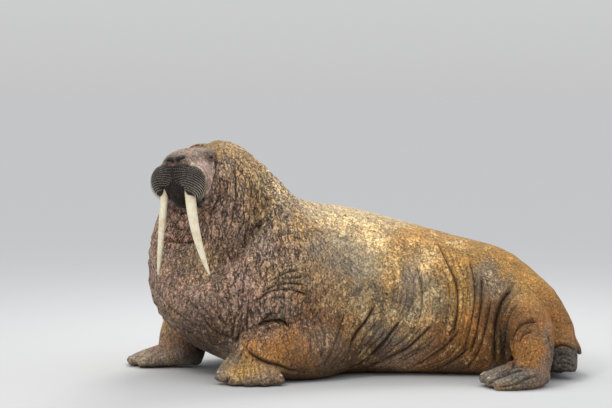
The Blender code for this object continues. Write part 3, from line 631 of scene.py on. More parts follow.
forms = [loft_between("skin", [(Vector(a) + SHIFT, Vector(b) + SHIFT, half)
                               for a, b, half in TRUNK], flat=1.3)]
forms.append(loft_between("skull", [(head_point((a[0], 0, a[1])), head_point((b[0], 0, b[1])), half)
                                    for a, b, half in HEAD_STATIONS], 2.5, 0.0, 60, 64))
for row in HEAD_SWELLINGS:
    for place, radii, turn in both_sides(row):
        forms.append(ellipsoid("swelling", HEAD @ Matrix.Translation(place), radii, turn))
for place, radii, turn in TRUNK_SWELLINGS:
    place = Matrix.Translation(Vector(place) + SHIFT)
    forms.append(ellipsoid("swelling", place, radii, turn))
for stations in LIMBS:
    forms.append(limb("limb", stations))
for name, (wrist, tips, thick, up) in HANDS.items():
    forms += hand(name, wrist, tips, thick, up)

skin = joined(forms, "skin")
remesh = skin.modifiers.new("fuse", "REMESH")
remesh.mode = "VOXEL"
remesh.voxel_size = VOXEL
apply_modifiers(skin)
smoothed(skin, SMOOTHING)
local = to_head(points_of(skin))
smoothed(skin, HEAD_SMOOTHING, np.clip((local[:, 0] + 0.20) / 0.08, 0, 1)
         * np.clip((local[:, 2] + 0.36) / 0.08, 0, 1))

points = points_of(skin)
normals = points_of(skin, "normal")
tree = surface_tree(skin)
depth = np.zeros(len(points))
# painted shade in the folds, creases and nostrils, from 0 to 1
dark = np.zeros(len(points))


def press(path, width, deep, taper=0.13):
    """Press a fold into the skin along a path, with a roll on both sides of it, and paint shade
    along its bottom.
    """
    if len(path) < 2:
        return
    away, where = near_path(points, path, 6 * width)
    d = away / width
    fade = ease(0, taper, np.minimum(where, 1 - where)) * 0.85 + 0.15 * (away < 1)
    valley = 0.72 * np.exp(-d * d) + 0.28 * np.exp(-(d / 2.6) ** 2)
    roll = np.exp(-((d - 3.0) / 1.5) ** 2)
    depth[:] = depth + FOLD_DEPTH * deep * fade * (valley - ROLL_HEIGHT * roll)
    dark[:] = np.maximum(dark, fade * np.exp(-(d / 0.9) ** 2) * min(1.0, deep / 0.0095))


rng = np.random.default_rng(5)
for width, finer, far_too, folds in FOLDS:
    rows = [(width, deep, smooth_table(pixels, 36)) for deep, pixels in folds]
    for (_, deep_a, a), (_, deep_b, b) in zip(rows[:], rows[1:]):
        for k in range(finer):
            share = (k + 1) / (finer + 1) + rng.uniform(-0.08, 0.08)
            first = rng.integers(0, 9)
            last = 36 - rng.integers(0, 9)
            line = (a + (b - a) * share)[first:last]
            line = line + 0.9 * np.sin(np.arange(len(line)) / 3.1 + rng.uniform(0, 6, (2, 1))).T
            rows.append((width * 0.58, 0.0034 + 0.16 * min(deep_a, deep_b), line))
    for wide, deep, line in rows:
        path = seen_path(tree, line)
        press(path, wide, deep)
        if far_too and len(path) > 1:
            twin = [tree.find_nearest(Vector(p))[0] for p in mirrored(path)]
            press(np.array(twin), wide, deep)
# The lip line is pressed in, with painted shade along it.
for side in (1, -1):
    lips = np.array([head_point((x, side * y, z)) for x, y, z in smooth_table(LIP_LINE, 40)])
    away, _ = near_path(points, lips, 0.05)
    depth += LIP_DEPTH * np.exp(-(away / 0.0085) ** 2)
    dark = np.maximum(dark, np.exp(-(away / 0.008) ** 2))

# The crease behind the head is pressed in, with painted shade along it.
local = to_head(points)
behind = (points - np.array(NAPE.translation)) @ np.array(NAPE.col[0][:3])
around = ease(-0.36, -0.28, local[:, 2]) * ease(-0.21, -0.16, -np.abs(local[:, 1]))
d = np.abs(behind) / 0.0075
depth += NAPE_DEPTH * around * (np.exp(-d * d) - 0.4 * np.exp(-((d - 2.3) / 1.2) ** 2))
dark = np.maximum(dark, around * np.exp(-(d / 0.9) ** 2))
set_points(skin, points - normals * depth[:, None])

# Regions of the skin, each from 0 to 1. The far side takes the near side's, mirrored.
points = points_of(skin)
normals = points_of(skin, "normal")
local = to_head(points)
behind = (points - np.array(NAPE.translation)) @ np.array(NAPE.col[0][:3])
on_head = ease(-0.004, 0.010, behind) * ease(-0.288, -0.265, local[:, 2])
on_head *= ease(-0.21, -0.19, -np.abs(local[:, 1]))
far_arm = (points[:, 0] < -0.80) & (points[:, 2] < 0.33) & (points[:, 1] > -0.05)
twins = mirrored(points)
hidden = (points[:, 1] > twins[:, 1]) & ~far_arm & (on_head < 0.5)
seen = np.where(hidden[:, None], twins, points)
head_seen = local.copy()
head_seen[:, 1] = np.abs(head_seen[:, 1])
on_face = on_head > 0.5
seen[on_face] = (head_seen @ HEAD_AXES.T + np.array(HEAD.translation))[on_face]
across, down = in_picture(seen)
flat_across, flat_down = across, down
across = across + noise(points, 0.13, 3) * 8
down = down + noise(points, 0.12, 11) * 7


def patch(x, y, wide, high):
    """A soft oval patch of the picture."""
    return np.exp(-((across - x) / wide) ** 2 - ((down - y) / high) ** 2)


# where the flaking outer skin is denser or sparser than elsewhere on the flank
FLAKY = [(352, 222, 34, 8, 0.5), (388, 246, 16, 12, 0.5), (380, 312, 44, 14, 0.45),
         (345, 300, 16, 22, 0.3), (430, 290, 12, 20, 0.4), (438, 262, 14, 12, 0.35),
         (360, 265, 24, 16, -0.55), (408, 290, 9, 14, -0.5), (402, 250, 12, 12, 0.3),
         (486, 274, 12, 12, 0.3), (520, 288, 16, 10, 0.25), (330, 250, 16, 20, 0.1)]

# the cheek ends behind in a crease, whose place changes with height
CHEEK_HEIGHTS = (-0.260, -0.231, -0.179, -0.137, -0.096, -0.072, -0.030, 0.030, 0.090)
CHEEK_REAR = (0.000, 0.008, 0.026, 0.033, 0.018, -0.006, -0.034, -0.052, -0.080)
fx, fy, fz = local[:, 0], np.abs(local[:, 1]), local[:, 2]
rough_edge = noise(points, 0.03, 14) * 0.008
face = on_head * ease(-0.008, 0.006, fx - np.interp(fz, CHEEK_HEIGHTS, CHEEK_REAR) + rough_edge)
flipper = np.maximum.reduce([
    ease(0.0, 0.03, 0.135 - points[:, 2]) * (points[:, 1] < -0.44),
    (far_arm & (points[:, 2] < 0.28)).astype(float),
    ease(0.0, 0.03, 0.14 - points[:, 2]) * (points[:, 0] > 0.66) * (points[:, 1] < -0.32),
])
warty = ease(352, 285, across) * (1 - face) * (1 - flipper) * ease(0.08, 0.24, points[:, 2])
warty *= 1 - 0.75 * patch(284, 348, 36, 20)
warty *= 1 - 0.85 * patch(214, 148, 24, 12)
chesty = ease(232, 200, across) * ease(240, 260, down) * warty
furry = ease(400, 470, across) * ease(0.05, 0.16, points[:, 2])
flaky = 0.50 * ease(285, 330, across) * ease(545, 455, across) * ease(378, 350, down)
for x, y, wide, high, more in FLAKY:
    flaky = flaky + more * patch(x, y, wide, high)
flaky = np.clip(flaky, 0, 1) * (1 - flipper) * (1 - face)

# Low swellings and uneven ground under the finer relief of the material
lumps = domes(points + 0.008 * noise(points, 0.05, 6)[:, None], 0.046, 44)
knobs = domes(points * (1.0, 1.0, 0.75) + 0.004 * noise(points, 0.03, 5)[:, None], 0.030, 21, 0.65)
rise = warty * (0.0050 * lumps + 0.0048 * knobs) + chesty * 0.0050 * lumps
rise += (1 - face) * (1 - flipper) * 0.0042 * noise(points * (1.0, 1.0, 0.55), 0.13, 8)
rise += furry * 0.0026 * noise(points * (1.3, 1.3, 0.30), 0.06, 12)
rise += flipper * 0.0020 * noise(points, 0.035, 9)
rise += face * 0.0012 * noise(points, 0.03, 10)
points = points + normals * rise[:, None]

# The face: nostrils, with painted shade in them, and wrinkles over the nose
NOSTRIL_DEPTH = 0.015
nose_tree = surface_tree(skin)
for pixels in ([(177.4, 162.2), (178.2, 160), (180.2, 158.3), (183.5, 157.6), (186, 158.2)],
               [(173.4, 163), (172, 161.2), (169.8, 160.2), (167.2, 160.6), (165.4, 162)]):
    away, where = near_path(points, seen_path(nose_tree, smooth_table(pixels, 24)), 0.05)
    fade = ease(0, 0.10, where) * ease(0, 0.25, 1 - where)
    points -= normals * (NOSTRIL_DEPTH * fade * np.exp(-(away / 0.0065) ** 2)
                         - 0.004 * fade * np.exp(-((away - 0.018) / 0.006) ** 2))[:, None]
    dark = np.maximum(dark, 1.2 * fade * np.exp(-(away / 0.0095) ** 2))
ripple = face * ease(0.02, 0.05, fx) * ease(-0.05, -0.02, fz) * ease(0.17, 0.13, fx)
points += normals * (0.0016 * ripple * np.sin(fx * 330 + 2.2 * noise(points, 0.05, 31)))[:, None]
points[:, 2] = np.maximum(points[:, 2], 0.0)
set_points(skin, points)

# Colours by place: where each is centred in the picture, how far it reaches, and the colour
CREAM = (0.62, 0.50, 0.31)
SANDY = (0.56, 0.42, 0.23)
OCHRE = (0.46, 0.285, 0.105)
HONEY = (0.44, 0.245, 0.068)
CINNAMON = (0.36, 0.165, 0.045)
RUST = (0.26, 0.125, 0.045)
TAN = (0.38, 0.26, 0.145)
GREY = (0.40, 0.32, 0.20)
STONE = (0.27, 0.215, 0.160)
SLATE = (0.150, 0.132, 0.112)
ROSE = (0.35, 0.226, 0.170)
PLUM = (0.23, 0.138, 0.108)
EARTH = (0.26, 0.175, 0.125)
SHADE = (0.12, 0.070, 0.036)
PLACES = [
    (188, 146, 10, 4, TAN), (205, 144, 10, 6, TAN), (228, 150, 16, 9, OCHRE),
    (252, 166, 15, 10, OCHRE),
    (275, 186, 15, 9, SANDY), (300, 200, 16, 8, SANDY), (224, 165, 6, 14, STONE),
    (221, 190, 7, 14, ROSE), (236, 180, 8, 16, TAN), (238, 208, 12, 16, ROSE),
    (230, 232, 16, 14, EARTH), (256, 200, 10, 16, OCHRE), (262, 232, 16, 18, STONE),
    (282, 214, 14, 12, TAN), (300, 232, 14, 16, OCHRE), (284, 248, 16, 12, ROSE),
    (176, 212, 14, 7, PLUM), (186, 224, 16, 8, ROSE), (178, 240, 16, 5, PLUM),
    (176, 255, 18, 10, EARTH), (200, 262, 12, 14, TAN), (165, 280, 14, 12, ROSE),
    (192, 284, 16, 10, ROSE), (215, 290, 14, 12, EARTH), (172, 305, 14, 12, EARTH),
    (200, 312, 16, 12, ROSE), (215, 335, 16, 10, SHADE), (185, 335, 18, 10, SHADE),
    (232, 315, 12, 14, EARTH), (244, 272, 16, 16, ROSE), (244, 300, 10, 12, PLUM),
    (270, 270, 14, 10, TAN), (300, 276, 16, 12, TAN), (285, 300, 18, 10, EARTH),
    (312, 305, 14, 16, RUST), (325, 338, 16, 18, EARTH), (332, 362, 18, 8, SHADE),
    (325, 210, 18, 8, CREAM), (350, 216, 20, 8, CREAM), (385, 226, 20, 8, SANDY),
    (412, 240, 16, 8, HONEY), (318, 246, 16, 14, STONE),
    (342, 240, 16, 10, GREY), (372, 242, 12, 8, CREAM),
    (395, 254, 14, 12, OCHRE), (345, 262, 12, 14, STONE),
    (368, 266, 14, 14, GREY), (390, 284, 10, 12, OCHRE),
    (410, 280, 12, 14, STONE), (428, 262, 10, 12, SANDY), (335, 290, 14, 14, TAN),
    (362, 300, 16, 12, STONE), (384, 310, 16, 10, TAN),
    (408, 300, 14, 12, STONE), (430, 300, 12, 14, GREY),
    (345, 325, 14, 12, RUST), (380, 332, 16, 10, STONE), (415, 330, 14, 10, TAN),
    (442, 330, 10, 14, RUST), (370, 352, 18, 8, SHADE), (402, 354, 18, 8, EARTH),
    (436, 358, 16, 8, RUST), (360, 372, 24, 6, SHADE), (452, 366, 16, 6, SHADE),
    (440, 248, 12, 10, HONEY), (460, 240, 14, 8, OCHRE), (482, 250, 14, 10, HONEY),
    (510, 262, 14, 12, HONEY), (450, 275, 10, 14, HONEY), (464, 296, 9, 16, OCHRE),
    (468, 330, 9, 18, CINNAMON), (484, 276, 9, 12, STONE), (500, 290, 11, 12, STONE),
    (518, 296, 10, 10, OCHRE), (486, 310, 8, 14, RUST), (540, 282, 14, 12, HONEY),
    (556, 306, 12, 14, CINNAMON), (568, 330, 8, 14, CINNAMON), (530, 306, 12, 10, CINNAMON),
    (482, 345, 8, 16, RUST), (503, 345, 6, 20, SHADE), (526, 330, 10, 10, RUST),
    (506, 305, 10, 12, RUST), (515, 318, 8, 8, RUST),
    (533, 356, 10, 10, CINNAMON), (547, 350, 5, 16, EARTH), (556, 340, 6, 8, CINNAMON),
    (518, 372, 14, 5, SLATE), (498, 378, 16, 5, SLATE), (512, 384, 18, 4, STONE),
    (522, 391, 22, 3.5, TAN), (545, 380, 6, 9, EARTH), (565, 362, 9, 15, SLATE),
    (168, 322, 7, 14, TAN), (180, 338, 10, 12, PLUM), (160, 345, 8, 9, EARTH),
    (150, 360, 24, 6, STONE), (190, 358, 16, 7, SLATE),
    (262, 334, 12, 8, EARTH), (280, 345, 14, 12, CINNAMON), (300, 352, 12, 14, RUST),
    (252, 350, 9, 9, CINNAMON), (246, 368, 12, 10, OCHRE), (268, 372, 12, 8, TAN),
    (232, 352, 5, 12, STONE), (218, 370, 6, 10, STONE), (240, 384, 16, 4, STONE),
    (268, 385, 12, 4, SLATE), (226, 384, 3.5, 4, ROSE), (302, 376, 22, 6, SHADE),
]
points = points_of(skin)
weight = np.full(len(points), 1e-9)
paint = np.outer(weight, EARTH)
for x, y, wide, high, colour in PLACES:
    share = patch(x, y, wide * 1.15, high * 1.15) + 1e-12
    weight = weight + share
    paint = paint + np.outer(share, colour)
paint /= weight[:, None]


def stain(mask, colour):
    """Lay a colour over the paint where the mask says."""
    paint[:] = paint + (np.array(colour) - paint) * np.clip(mask, 0, 1)[:, None]


far_foot = (points[:, 0] > 0.60) & (points[:, 1] > 0.01)
stain(far_foot * ease(0.16, 0.11, points[:, 2]), SLATE)
far_heel = ease(1.060, 1.075, points[:, 0]) * ease(-0.44, -0.42, points[:, 1])
far_heel *= ease(-0.215, -0.23, points[:, 1])
stain(far_heel * ease(0.185, 0.165, points[:, 2] + rough_edge), (0.125, 0.112, 0.098))
stain(ease(0.035, 0.0, points[:, 2]) * 0.35, SHADE)

# The face's colours, in the head's frame, with painted highlights on the cheek and the snout's top
# edge and painted shade on the lower lip. The dark pads end behind and above along lines that
# change with height.
PAD_HEIGHTS = (-0.270, -0.246, -0.223, -0.191, -0.141, -0.110, -0.074, -0.050)
PAD_REAR = (-0.010, 0.018, 0.058, 0.100, 0.126, 0.133, 0.150, 0.170)


def near_face(x, y, wide, high):
    """A soft oval patch of the face, by picture place."""
    return face * np.exp(-((flat_across - x) / wide) ** 2 - ((flat_down - y) / high) ** 2)


stain(face, (0.27, 0.200, 0.155))
stain(face * ease(0.000, 0.045, fz + rough_edge) * ease(0.16, 0.08, fx), (0.235, 0.175, 0.130))
# A pale strip along the snout's top edge: partly short pale hair, partly a painted highlight of the
# light from behind.
stain(near_face(186, 151, 14, 2.4) * 0.6, (0.36, 0.275, 0.20))
stain(near_face(196, 158, 8, 6) * 0.8, (0.235, 0.190, 0.165))
stain(near_face(206, 158, 5, 7) * 0.7, (0.27, 0.180, 0.145))
behind_pad = fx - np.interp(fz, PAD_HEIGHTS, PAD_REAR) + rough_edge * 0.5
stain(face * ease(-0.03, -0.055, behind_pad) * ease(0.01, -0.05, fz) * 0.85, (0.48, 0.335, 0.285))
# A painted highlight along the rear edge of the pad, where the cheek ridge catches the light.
cheek_highlight = np.exp(-((behind_pad + 0.015) / 0.011) ** 2) * ease(0.06, 0.10, local[:, 1])
stain(face * cheek_highlight * ease(-0.165, -0.115, fz) * 0.9, (0.58, 0.47, 0.37))
pad = ease(-0.006, 0.004, behind_pad)
top = -0.050 - 0.09 * np.maximum(fy - 0.10, 0)
pad = face * np.maximum(pad * ease(0.016, -0.010, fz - top + rough_edge * 0.5),
                        ease(0.03, 0.045, fx) * ease(-0.20, -0.215, fz) * ease(0.13, 0.11, fy))
nose = face * np.exp(-((fx - 0.195) / 0.082) ** 2 - (fy / 0.080) ** 2 - ((fz + 0.028) / 0.040) ** 2)
stain(nose * 1.3, (0.060, 0.046, 0.041))
stain(pad, (0.017, 0.013, 0.012))
# The lower lip: dark skin, made darker still by painted shade under the overhanging pads.
lower_lip_and_shade = face * ease(0.074, 0.064, fy) * ease(-0.158, -0.172, fz) * ease(0.03, 0.06, fx)
stain(lower_lip_and_shade, (0.011, 0.008, 0.007))
pink = face * ease(0.030, 0.018, fy) * np.exp(-((fz + 0.052) / 0.006) ** 2) * ease(0.15, 0.18, fx)
stain(pink * 0.6, (0.30, 0.165, 0.145))
eye_away = np.linalg.norm(head_seen - np.array(EYE_PLACE), axis=1)
stain(face * np.exp(-((eye_away - 0.012) / 0.020) ** 2) * 0.8, (0.17, 0.110, 0.085))
sore, _ = near_path(points, seen_path(tree, smooth_table(
    [(186, 150), (190, 148.4), (194, 146.6), (198, 144.4), (201, 142.2)], 40)), 0.06)
stain(np.exp(-(sore / 0.011) ** 2) * 0.6, (0.50, 0.27, 0.20))
stain(np.exp(-(sore / 0.0048) ** 2) * 0.95, (0.30, 0.045, 0.035))
scar, _ = near_path(points, seen_path(tree, smooth_table(
    [(194, 294.5), (204, 290.3), (210, 286)], 20)), 0.06)
stain(np.exp(-(scar / 0.012) ** 2) * 0.6, (0.52, 0.34, 0.28))
ring, _ = near_path(points, seen_path(tree, smooth_table(
    [(167, 238.5), (180, 240.5), (195, 239.5)], 30)), 0.06)
stain(np.exp(-(ring / 0.010) ** 2) * 0.5, (0.42, 0.22, 0.19))

# Lighter and darker skin by place, mostly its own tone; the darkening under the chest between the
# foreflippers is painted shade.
tone_and_shade = 1 + 0.50 * warty + 0.40 * warty * patch(192, 228, 34, 30) - 0.22 * chesty
for x, y, wide, high, more in ((216, 148, 26, 13, -0.42), (226, 232, 18, 20, 0.50),
                               (178, 212, 18, 12, -0.45), (408, 268, 40, 26, 0.42),
                               (268, 292, 34, 16, 0.30), (425, 364, 60, 13, 0.70),
                               (335, 240, 28, 20, 0.34), (370, 226, 30, 12, 0.10),
                               (170, 275, 20, 16, -0.18), (198, 318, 22, 14, -0.30),
                               (200, 344, 20, 9, -0.65), (476, 318, 15, 26, 0.95),
                               (515, 315, 17, 15, -0.42), (362, 306, 26, 15, -0.32),
                               (281, 340, 20, 10, -0.24), (247, 162, 16, 12, -0.14)):
    tone_and_shade += more * patch(x, y, wide, high)
tone_and_shade += 0.30 * far_arm * ease(0.08, 0.14, points[:, 2])
paint *= (tone_and_shade * (1 + 0.16 * noise(points, 0.08, 17)))[:, None]
paint = np.clip(paint, 0.004, 0.8)

fields = {"dark": dark, "warty": warty, "furry": furry, "flaky": flaky, "chesty": chesty,
          "pad": pad, "bare": np.maximum(flipper, face), "face": face}
for name, values in fields.items():
    store(skin, name, values)
store(skin, "paint", np.column_stack([paint, np.ones(len(paint))]), "FLOAT_COLOR")

facing = (normals[:, 1] < 0.25) & ~hidden
eager = np.where(facing, 0.80 - 0.14 * warty, 1.0)
eager = np.where(facing & (dark > 0.06), 0.30, eager)
eager = np.where(flipper > 0.5, 0.55, eager)
eager = np.where(on_head > 0.3, 0.25, eager)
eager = np.where(points[:, 2] < 0.004, 1.0, eager)
weigh(skin, "thin", eager)
skin.data.calc_loop_triangles()
thin = skin.modifiers.new("thin", "DECIMATE")
thin.ratio = min(1.0, SKIN_TRIANGLES / len(skin.data.loop_triangles))
thin.vertex_group = "thin"
apply_modifiers(skin)
skin.vertex_groups.clear()
skin.data.shade_smooth()


class Nodes:
    """A small builder for a material's or a group's nodes."""

    def __init__(self, tree):
        self.tree = tree

    def put(self, socket, value):
        if isinstance(value, bpy.types.NodeSocket):
            self.tree.links.new(value, socket)
        else:
            socket.default_value = value

    def add(self, kind, values=(), **settings):
        node = self.tree.nodes.new(kind)
        for key, value in settings.items():
            setattr(node, key, value)
        for socket, value in dict(values).items():
            self.put(node.inputs[socket], value)
        return node

    def math(self, operation, *values):
        return self.add("ShaderNodeMath", enumerate(values), operation=operation).outputs[0]

    def times(self, *values):
        result = values[0]
        for value in values[1:]:
            result = self.math("MULTIPLY", result, value)
        return result

    def mix(self, share, a, b, blend="MIX"):
        return self.add("ShaderNodeMix", {0: share, 6: a, 7: b}, data_type="RGBA",
                        blend_type=blend).outputs[2]

    def step(self, low, high, value):
        return self.add("ShaderNodeMapRange", {"Value": value, "From Min": low, "From Max": high},
                        interpolation_type="SMOOTHSTEP").outputs[0]

    def span(self, value, low, high, start=0.3, end=0.7):
        return self.add("ShaderNodeMapRange", {"Value": value, "From Min": start,
                                               "From Max": end, "To Min": low,
                                               "To Max": high}).outputs[0]

    def field(self, name):
        return self.add("ShaderNodeAttribute", attribute_name=name).outputs["Fac"]

    def noise(self, vector, scale, detail=3.0, rough=0.55):
        return self.add("ShaderNodeTexNoise", {"Vector": vector, "Scale": scale, "Detail": detail,
                                               "Roughness": rough}).outputs[0]

    def scaled(self, vector, amounts):
        return self.add("ShaderNodeVectorMath", {0: vector, 1: amounts},
                        operation="MULTIPLY").outputs[0]

    def bosses(self, vector, scale, share):
        """Round bosses of mixed sizes: height, the ring round each foot for painted shade, and a
        number for each.
        """
        cells = self.add("ShaderNodeTexVoronoi", {"Vector": vector, "Scale": scale}, feature="F1")
        own = self.add("ShaderNodeSeparateColor", {0: cells.outputs["Color"]}).outputs
        near = self.math("DIVIDE", cells.outputs["Distance"],
                         self.math("MULTIPLY_ADD", own[0], 0.30, 0.32))
        shown = self.step(1 - share - 0.05, 1 - share + 0.05, own[1])
        dome = self.times(self.step(1.0, 0.30, near), shown)
        ring = self.times(self.step(0.70, 1.0, near), self.step(1.55, 1.15, near), shown)
        return dome, ring, own[2]


def new_material(name):
    material = bpy.data.materials.new(name)
    material.use_nodes = True
    build = Nodes(material.node_tree)
    return material, build, material.node_tree.nodes["Principled BSDF"]


def colour_ramp(build, value, stops):
    ramp = build.add("ShaderNodeValToRGB", {0: value})
    while len(ramp.color_ramp.elements) < len(stops):
        ramp.color_ramp.elements.new(0.5)
    for element, (position, colour) in zip(ramp.color_ramp.elements, stops):
        element.position = position
        element.color = (*colour, 1)
    return ramp.outputs[0]


# Features to the metre of each layer of the skin's pattern
CLOUD_SCALE = 9.0
FLAKE_SCALE = 62.0
BOSS_SCALE = 40.0
SMALL_BOSS_SCALE = 82.0
CRACK_SCALE = 26.0
FINE_CRACK_SCALE = 60.0
PIT_SCALE = 10.0
GRAIN_SCALE = 105.0
HAIR_SCALE = 170.0
SPECKLE_SCALE = 190.0

# Heights and depths of the relief, in metres
BOSS_HEIGHT = 0.0075
SMALL_BOSS_HEIGHT = 0.0028
CRACK_DEPTH = 0.0050
FINE_CRACK_DEPTH = 0.0016
FLAKE_HEIGHT = 0.0020
PIT_DEPTH = 0.0040
SWELL_HEIGHT = 0.0080
GRAIN_HEIGHT = 0.0026
HAIR_HEIGHT = 0.0022
SPECKLE_HEIGHT = 0.0022

skin_material, n, shader = new_material("skin")
place = n.add("ShaderNodeTexCoord").outputs["Object"]
paint_in = n.add("ShaderNodeAttribute", attribute_name="paint").outputs["Color"]
crease_shade_in, warty_in, furry_in, flaky_in, chesty_in, pad_in, bare_in, face_in = [
    n.field(name) for name in fields]
bent = n.add("ShaderNodeTexNoise", {"Vector": place, "Scale": 30.0, "Detail": 2.0}).outputs[1]
bent = n.add("ShaderNodeVectorMath", {0: bent, 1: (-0.5, -0.5, -0.5)}, operation="ADD").outputs[0]
wavy = n.add("ShaderNodeVectorMath", {0: place, 1: n.scaled(bent, (0.016, 0.016, 0.016))},
             operation="ADD").outputs[0]
upright = n.scaled(wavy, (1.0, 1.0, 0.68))
fibrous = n.scaled(wavy, (1.0, 1.0, 0.30))

# Cool and warm clouds, then pale flakes of outer skin over greyer skin on flank and loins
colour = n.mix(1.0, paint_in, n.mix(n.step(0.38, 0.62, n.noise(place, CLOUD_SCALE, 4.0, 0.6)),
                                    (0.84, 0.86, 0.88, 1), (1.16, 1.07, 0.94, 1)), "MULTIPLY")
clumps = n.span(n.noise(n.scaled(place, (1.0, 1.0, 0.8)), CLOUD_SCALE, 4.0, 0.6), -0.19, 0.19)
fine = n.math("ADD", n.noise(upright, FLAKE_SCALE, 5.0, 0.78), clumps)
cover = n.math("MULTIPLY_ADD", flaky_in, 0.25, -0.680)
flake = n.times(n.step(0.0, 0.016, n.math("ADD", fine, cover)), n.step(0.02, 0.18, flaky_in))
ground = n.mix(1.0, colour, (0.74, 0.70, 0.66, 1), "MULTIPLY")
colour = n.mix(n.times(flaky_in, 0.9), colour, ground)
bright = n.mix(1.0, colour, (2.0, 1.9, 1.65, 1), "MULTIPLY")
warm = n.mix(n.step(0.4, 0.6, n.noise(place, 20.0, 2.0)), (0.48, 0.31, 0.12, 1),
             (0.66, 0.53, 0.31, 1))
colour = n.mix(n.times(flake, 0.88), colour, n.mix(0.42, bright, warm))
edge = n.times(n.step(-0.045, 0.0, n.math("ADD", fine, cover)),
               n.math("SUBTRACT", 1.0, flake), n.step(0.02, 0.18, flaky_in))
colour = n.mix(n.times(edge, 0.75), colour, (0.070, 0.054, 0.038, 1))

# Bosses on neck, chest and shoulders: painted shade round the foot, each top with its own colour
columns = n.scaled(wavy, (1.0, 1.0, 0.66))
big_dome, big_foot_shade, big_own = n.bosses(columns, BOSS_SCALE, 0.72)
small_dome, small_foot_shade, small_own = n.bosses(upright, SMALL_BOSS_SCALE, 0.70)
tops = colour_ramp(n, big_own, [(0.0, (0.20, 0.150, 0.130)), (0.20, (0.50, 0.31, 0.235)),
                                (0.42, (0.44, 0.36, 0.31)), (0.60, (0.60, 0.35, 0.16)),
                                (0.80, (0.68, 0.53, 0.39)), (1.0, (0.32, 0.26, 0.23))])
little = n.math("SUBTRACT", warty_in, n.times(chesty_in, 0.22))
colour = n.mix(n.times(big_dome, little, 0.74), colour, tops)
colour = n.mix(n.times(big_foot_shade, little, 0.72), colour, (0.060, 0.041, 0.032, 1))
colour = n.mix(n.times(small_foot_shade, little, 0.42), colour, (0.066, 0.046, 0.036, 1))
colour = n.mix(n.times(small_dome, little, 0.52), colour,
               n.mix(small_own, (0.56, 0.41, 0.31, 1), (0.48, 0.29, 0.14, 1)))

# Wrinkles run down the body. Painted shade darkens them, the pits in the back, and the deep folds,
# creases and nostrils.
crack_noise = n.noise(fibrous, CRACK_SCALE, 3.0, 0.6)
coarse_line = n.math("ABSOLUTE", n.math("SUBTRACT", crack_noise, 0.5))
crack_noise = n.noise(upright, FINE_CRACK_SCALE, 3.0, 0.6)
fine_line = n.math("ABSOLUTE", n.math("SUBTRACT", crack_noise, 0.5))
coarse_crack = n.step(0.046, 0.0, coarse_line)
fine_crack = n.step(0.035, 0.0, fine_line)
wrinkly = n.math("SUBTRACT", n.span(warty_in, 0.34, 1.0, 0.0, 1.0), n.times(chesty_in, 0.30))
colour = n.mix(n.times(coarse_crack, wrinkly, 0.90), colour, (0.044, 0.030, 0.024, 1))
colour = n.mix(n.times(fine_crack, 0.62), colour, n.mix(0.75, colour, (0.05, 0.035, 0.025, 1)))
pocks = n.add("ShaderNodeTexVoronoi", {"Vector": wavy, "Scale": PIT_SCALE}, feature="F1")
pit = n.times(n.step(0.100, 0.065, pocks.outputs["Distance"]), n.step(0.1, 0.3, flaky_in))
colour = n.mix(n.times(pit, 0.85), colour, (0.06, 0.045, 0.035, 1))
speckle = n.noise(place, SPECKLE_SCALE, 4.0, 0.75)
colour = n.mix(1.0, colour, n.span(speckle, 0.52, 1.48), "MULTIPLY")
grain = n.noise(upright, GRAIN_SCALE, 3.0, 0.7)
colour = n.mix(1.0, colour, n.span(grain, 0.30, 1.84), "MULTIPLY")
streaks = n.noise(n.scaled(place, (1.0, 1.0, 0.22)), HAIR_SCALE, 4.0, 0.7)
colour = n.mix(furry_in, colour, n.mix(1.0, colour, n.span(streaks, 0.70, 1.30), "MULTIPLY"))
# painted shade in the deep folds, creases and nostrils
colour = n.mix(n.times(crease_shade_in, 0.92), colour, (0.026, 0.018, 0.013, 1))
n.put(shader.inputs["Base Color"], colour)

# Relief too fine for the mesh
calm = n.math("SUBTRACT", 1.0, n.times(face_in, 0.6))
height = n.times(big_dome, little, BOSS_HEIGHT)
for part in (n.times(small_dome, little, SMALL_BOSS_HEIGHT),
             n.times(coarse_crack, wrinkly, -CRACK_DEPTH),
             n.times(fine_crack, calm, -FINE_CRACK_DEPTH), n.times(flake, FLAKE_HEIGHT),
             n.times(pit, -PIT_DEPTH),
             n.times(n.noise(upright, 45.0, 4.0, 0.6), calm, SWELL_HEIGHT),
             n.times(speckle, calm, SPECKLE_HEIGHT), n.times(grain, calm, GRAIN_HEIGHT),
             n.times(streaks, furry_in, HAIR_HEIGHT)):
    height = n.math("ADD", height, part)
bump = n.add("ShaderNodeBump", {"Height": height, "Strength": 1.0, "Distance": 1.0})
n.put(shader.inputs["Normal"], bump.outputs[0])
rough = n.math("SUBTRACT", 0.74, n.times(bare_in, 0.10))
rough = n.math("SUBTRACT", rough, n.times(pad_in, 0.08))
n.put(shader.inputs["Roughness"], n.math("SUBTRACT", rough, n.times(warty_in, 0.20)))
shader.inputs["Specular IOR Level"].default_value = 0.20
skin.data.materials.clear()
skin.data.materials.append(skin_material)
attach(skin, "root")
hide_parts("head", "neck", "chest", "torso", "hips", "tail", "foreflipper_left",
            "foreflipper_right", "hindflipper_left", "hindflipper_right")

# Tusks. Long canines of cream ivory, oval in section with the flat to the side, shallow
# grooves along them, stained at the root and worn at the tip.
TUSK_LENGTH = 0.47
TUSK_DEPTH = 0.062
TUSK_WIDTH = 0.044
TUSK_TWIST = math.radians(-45.0)

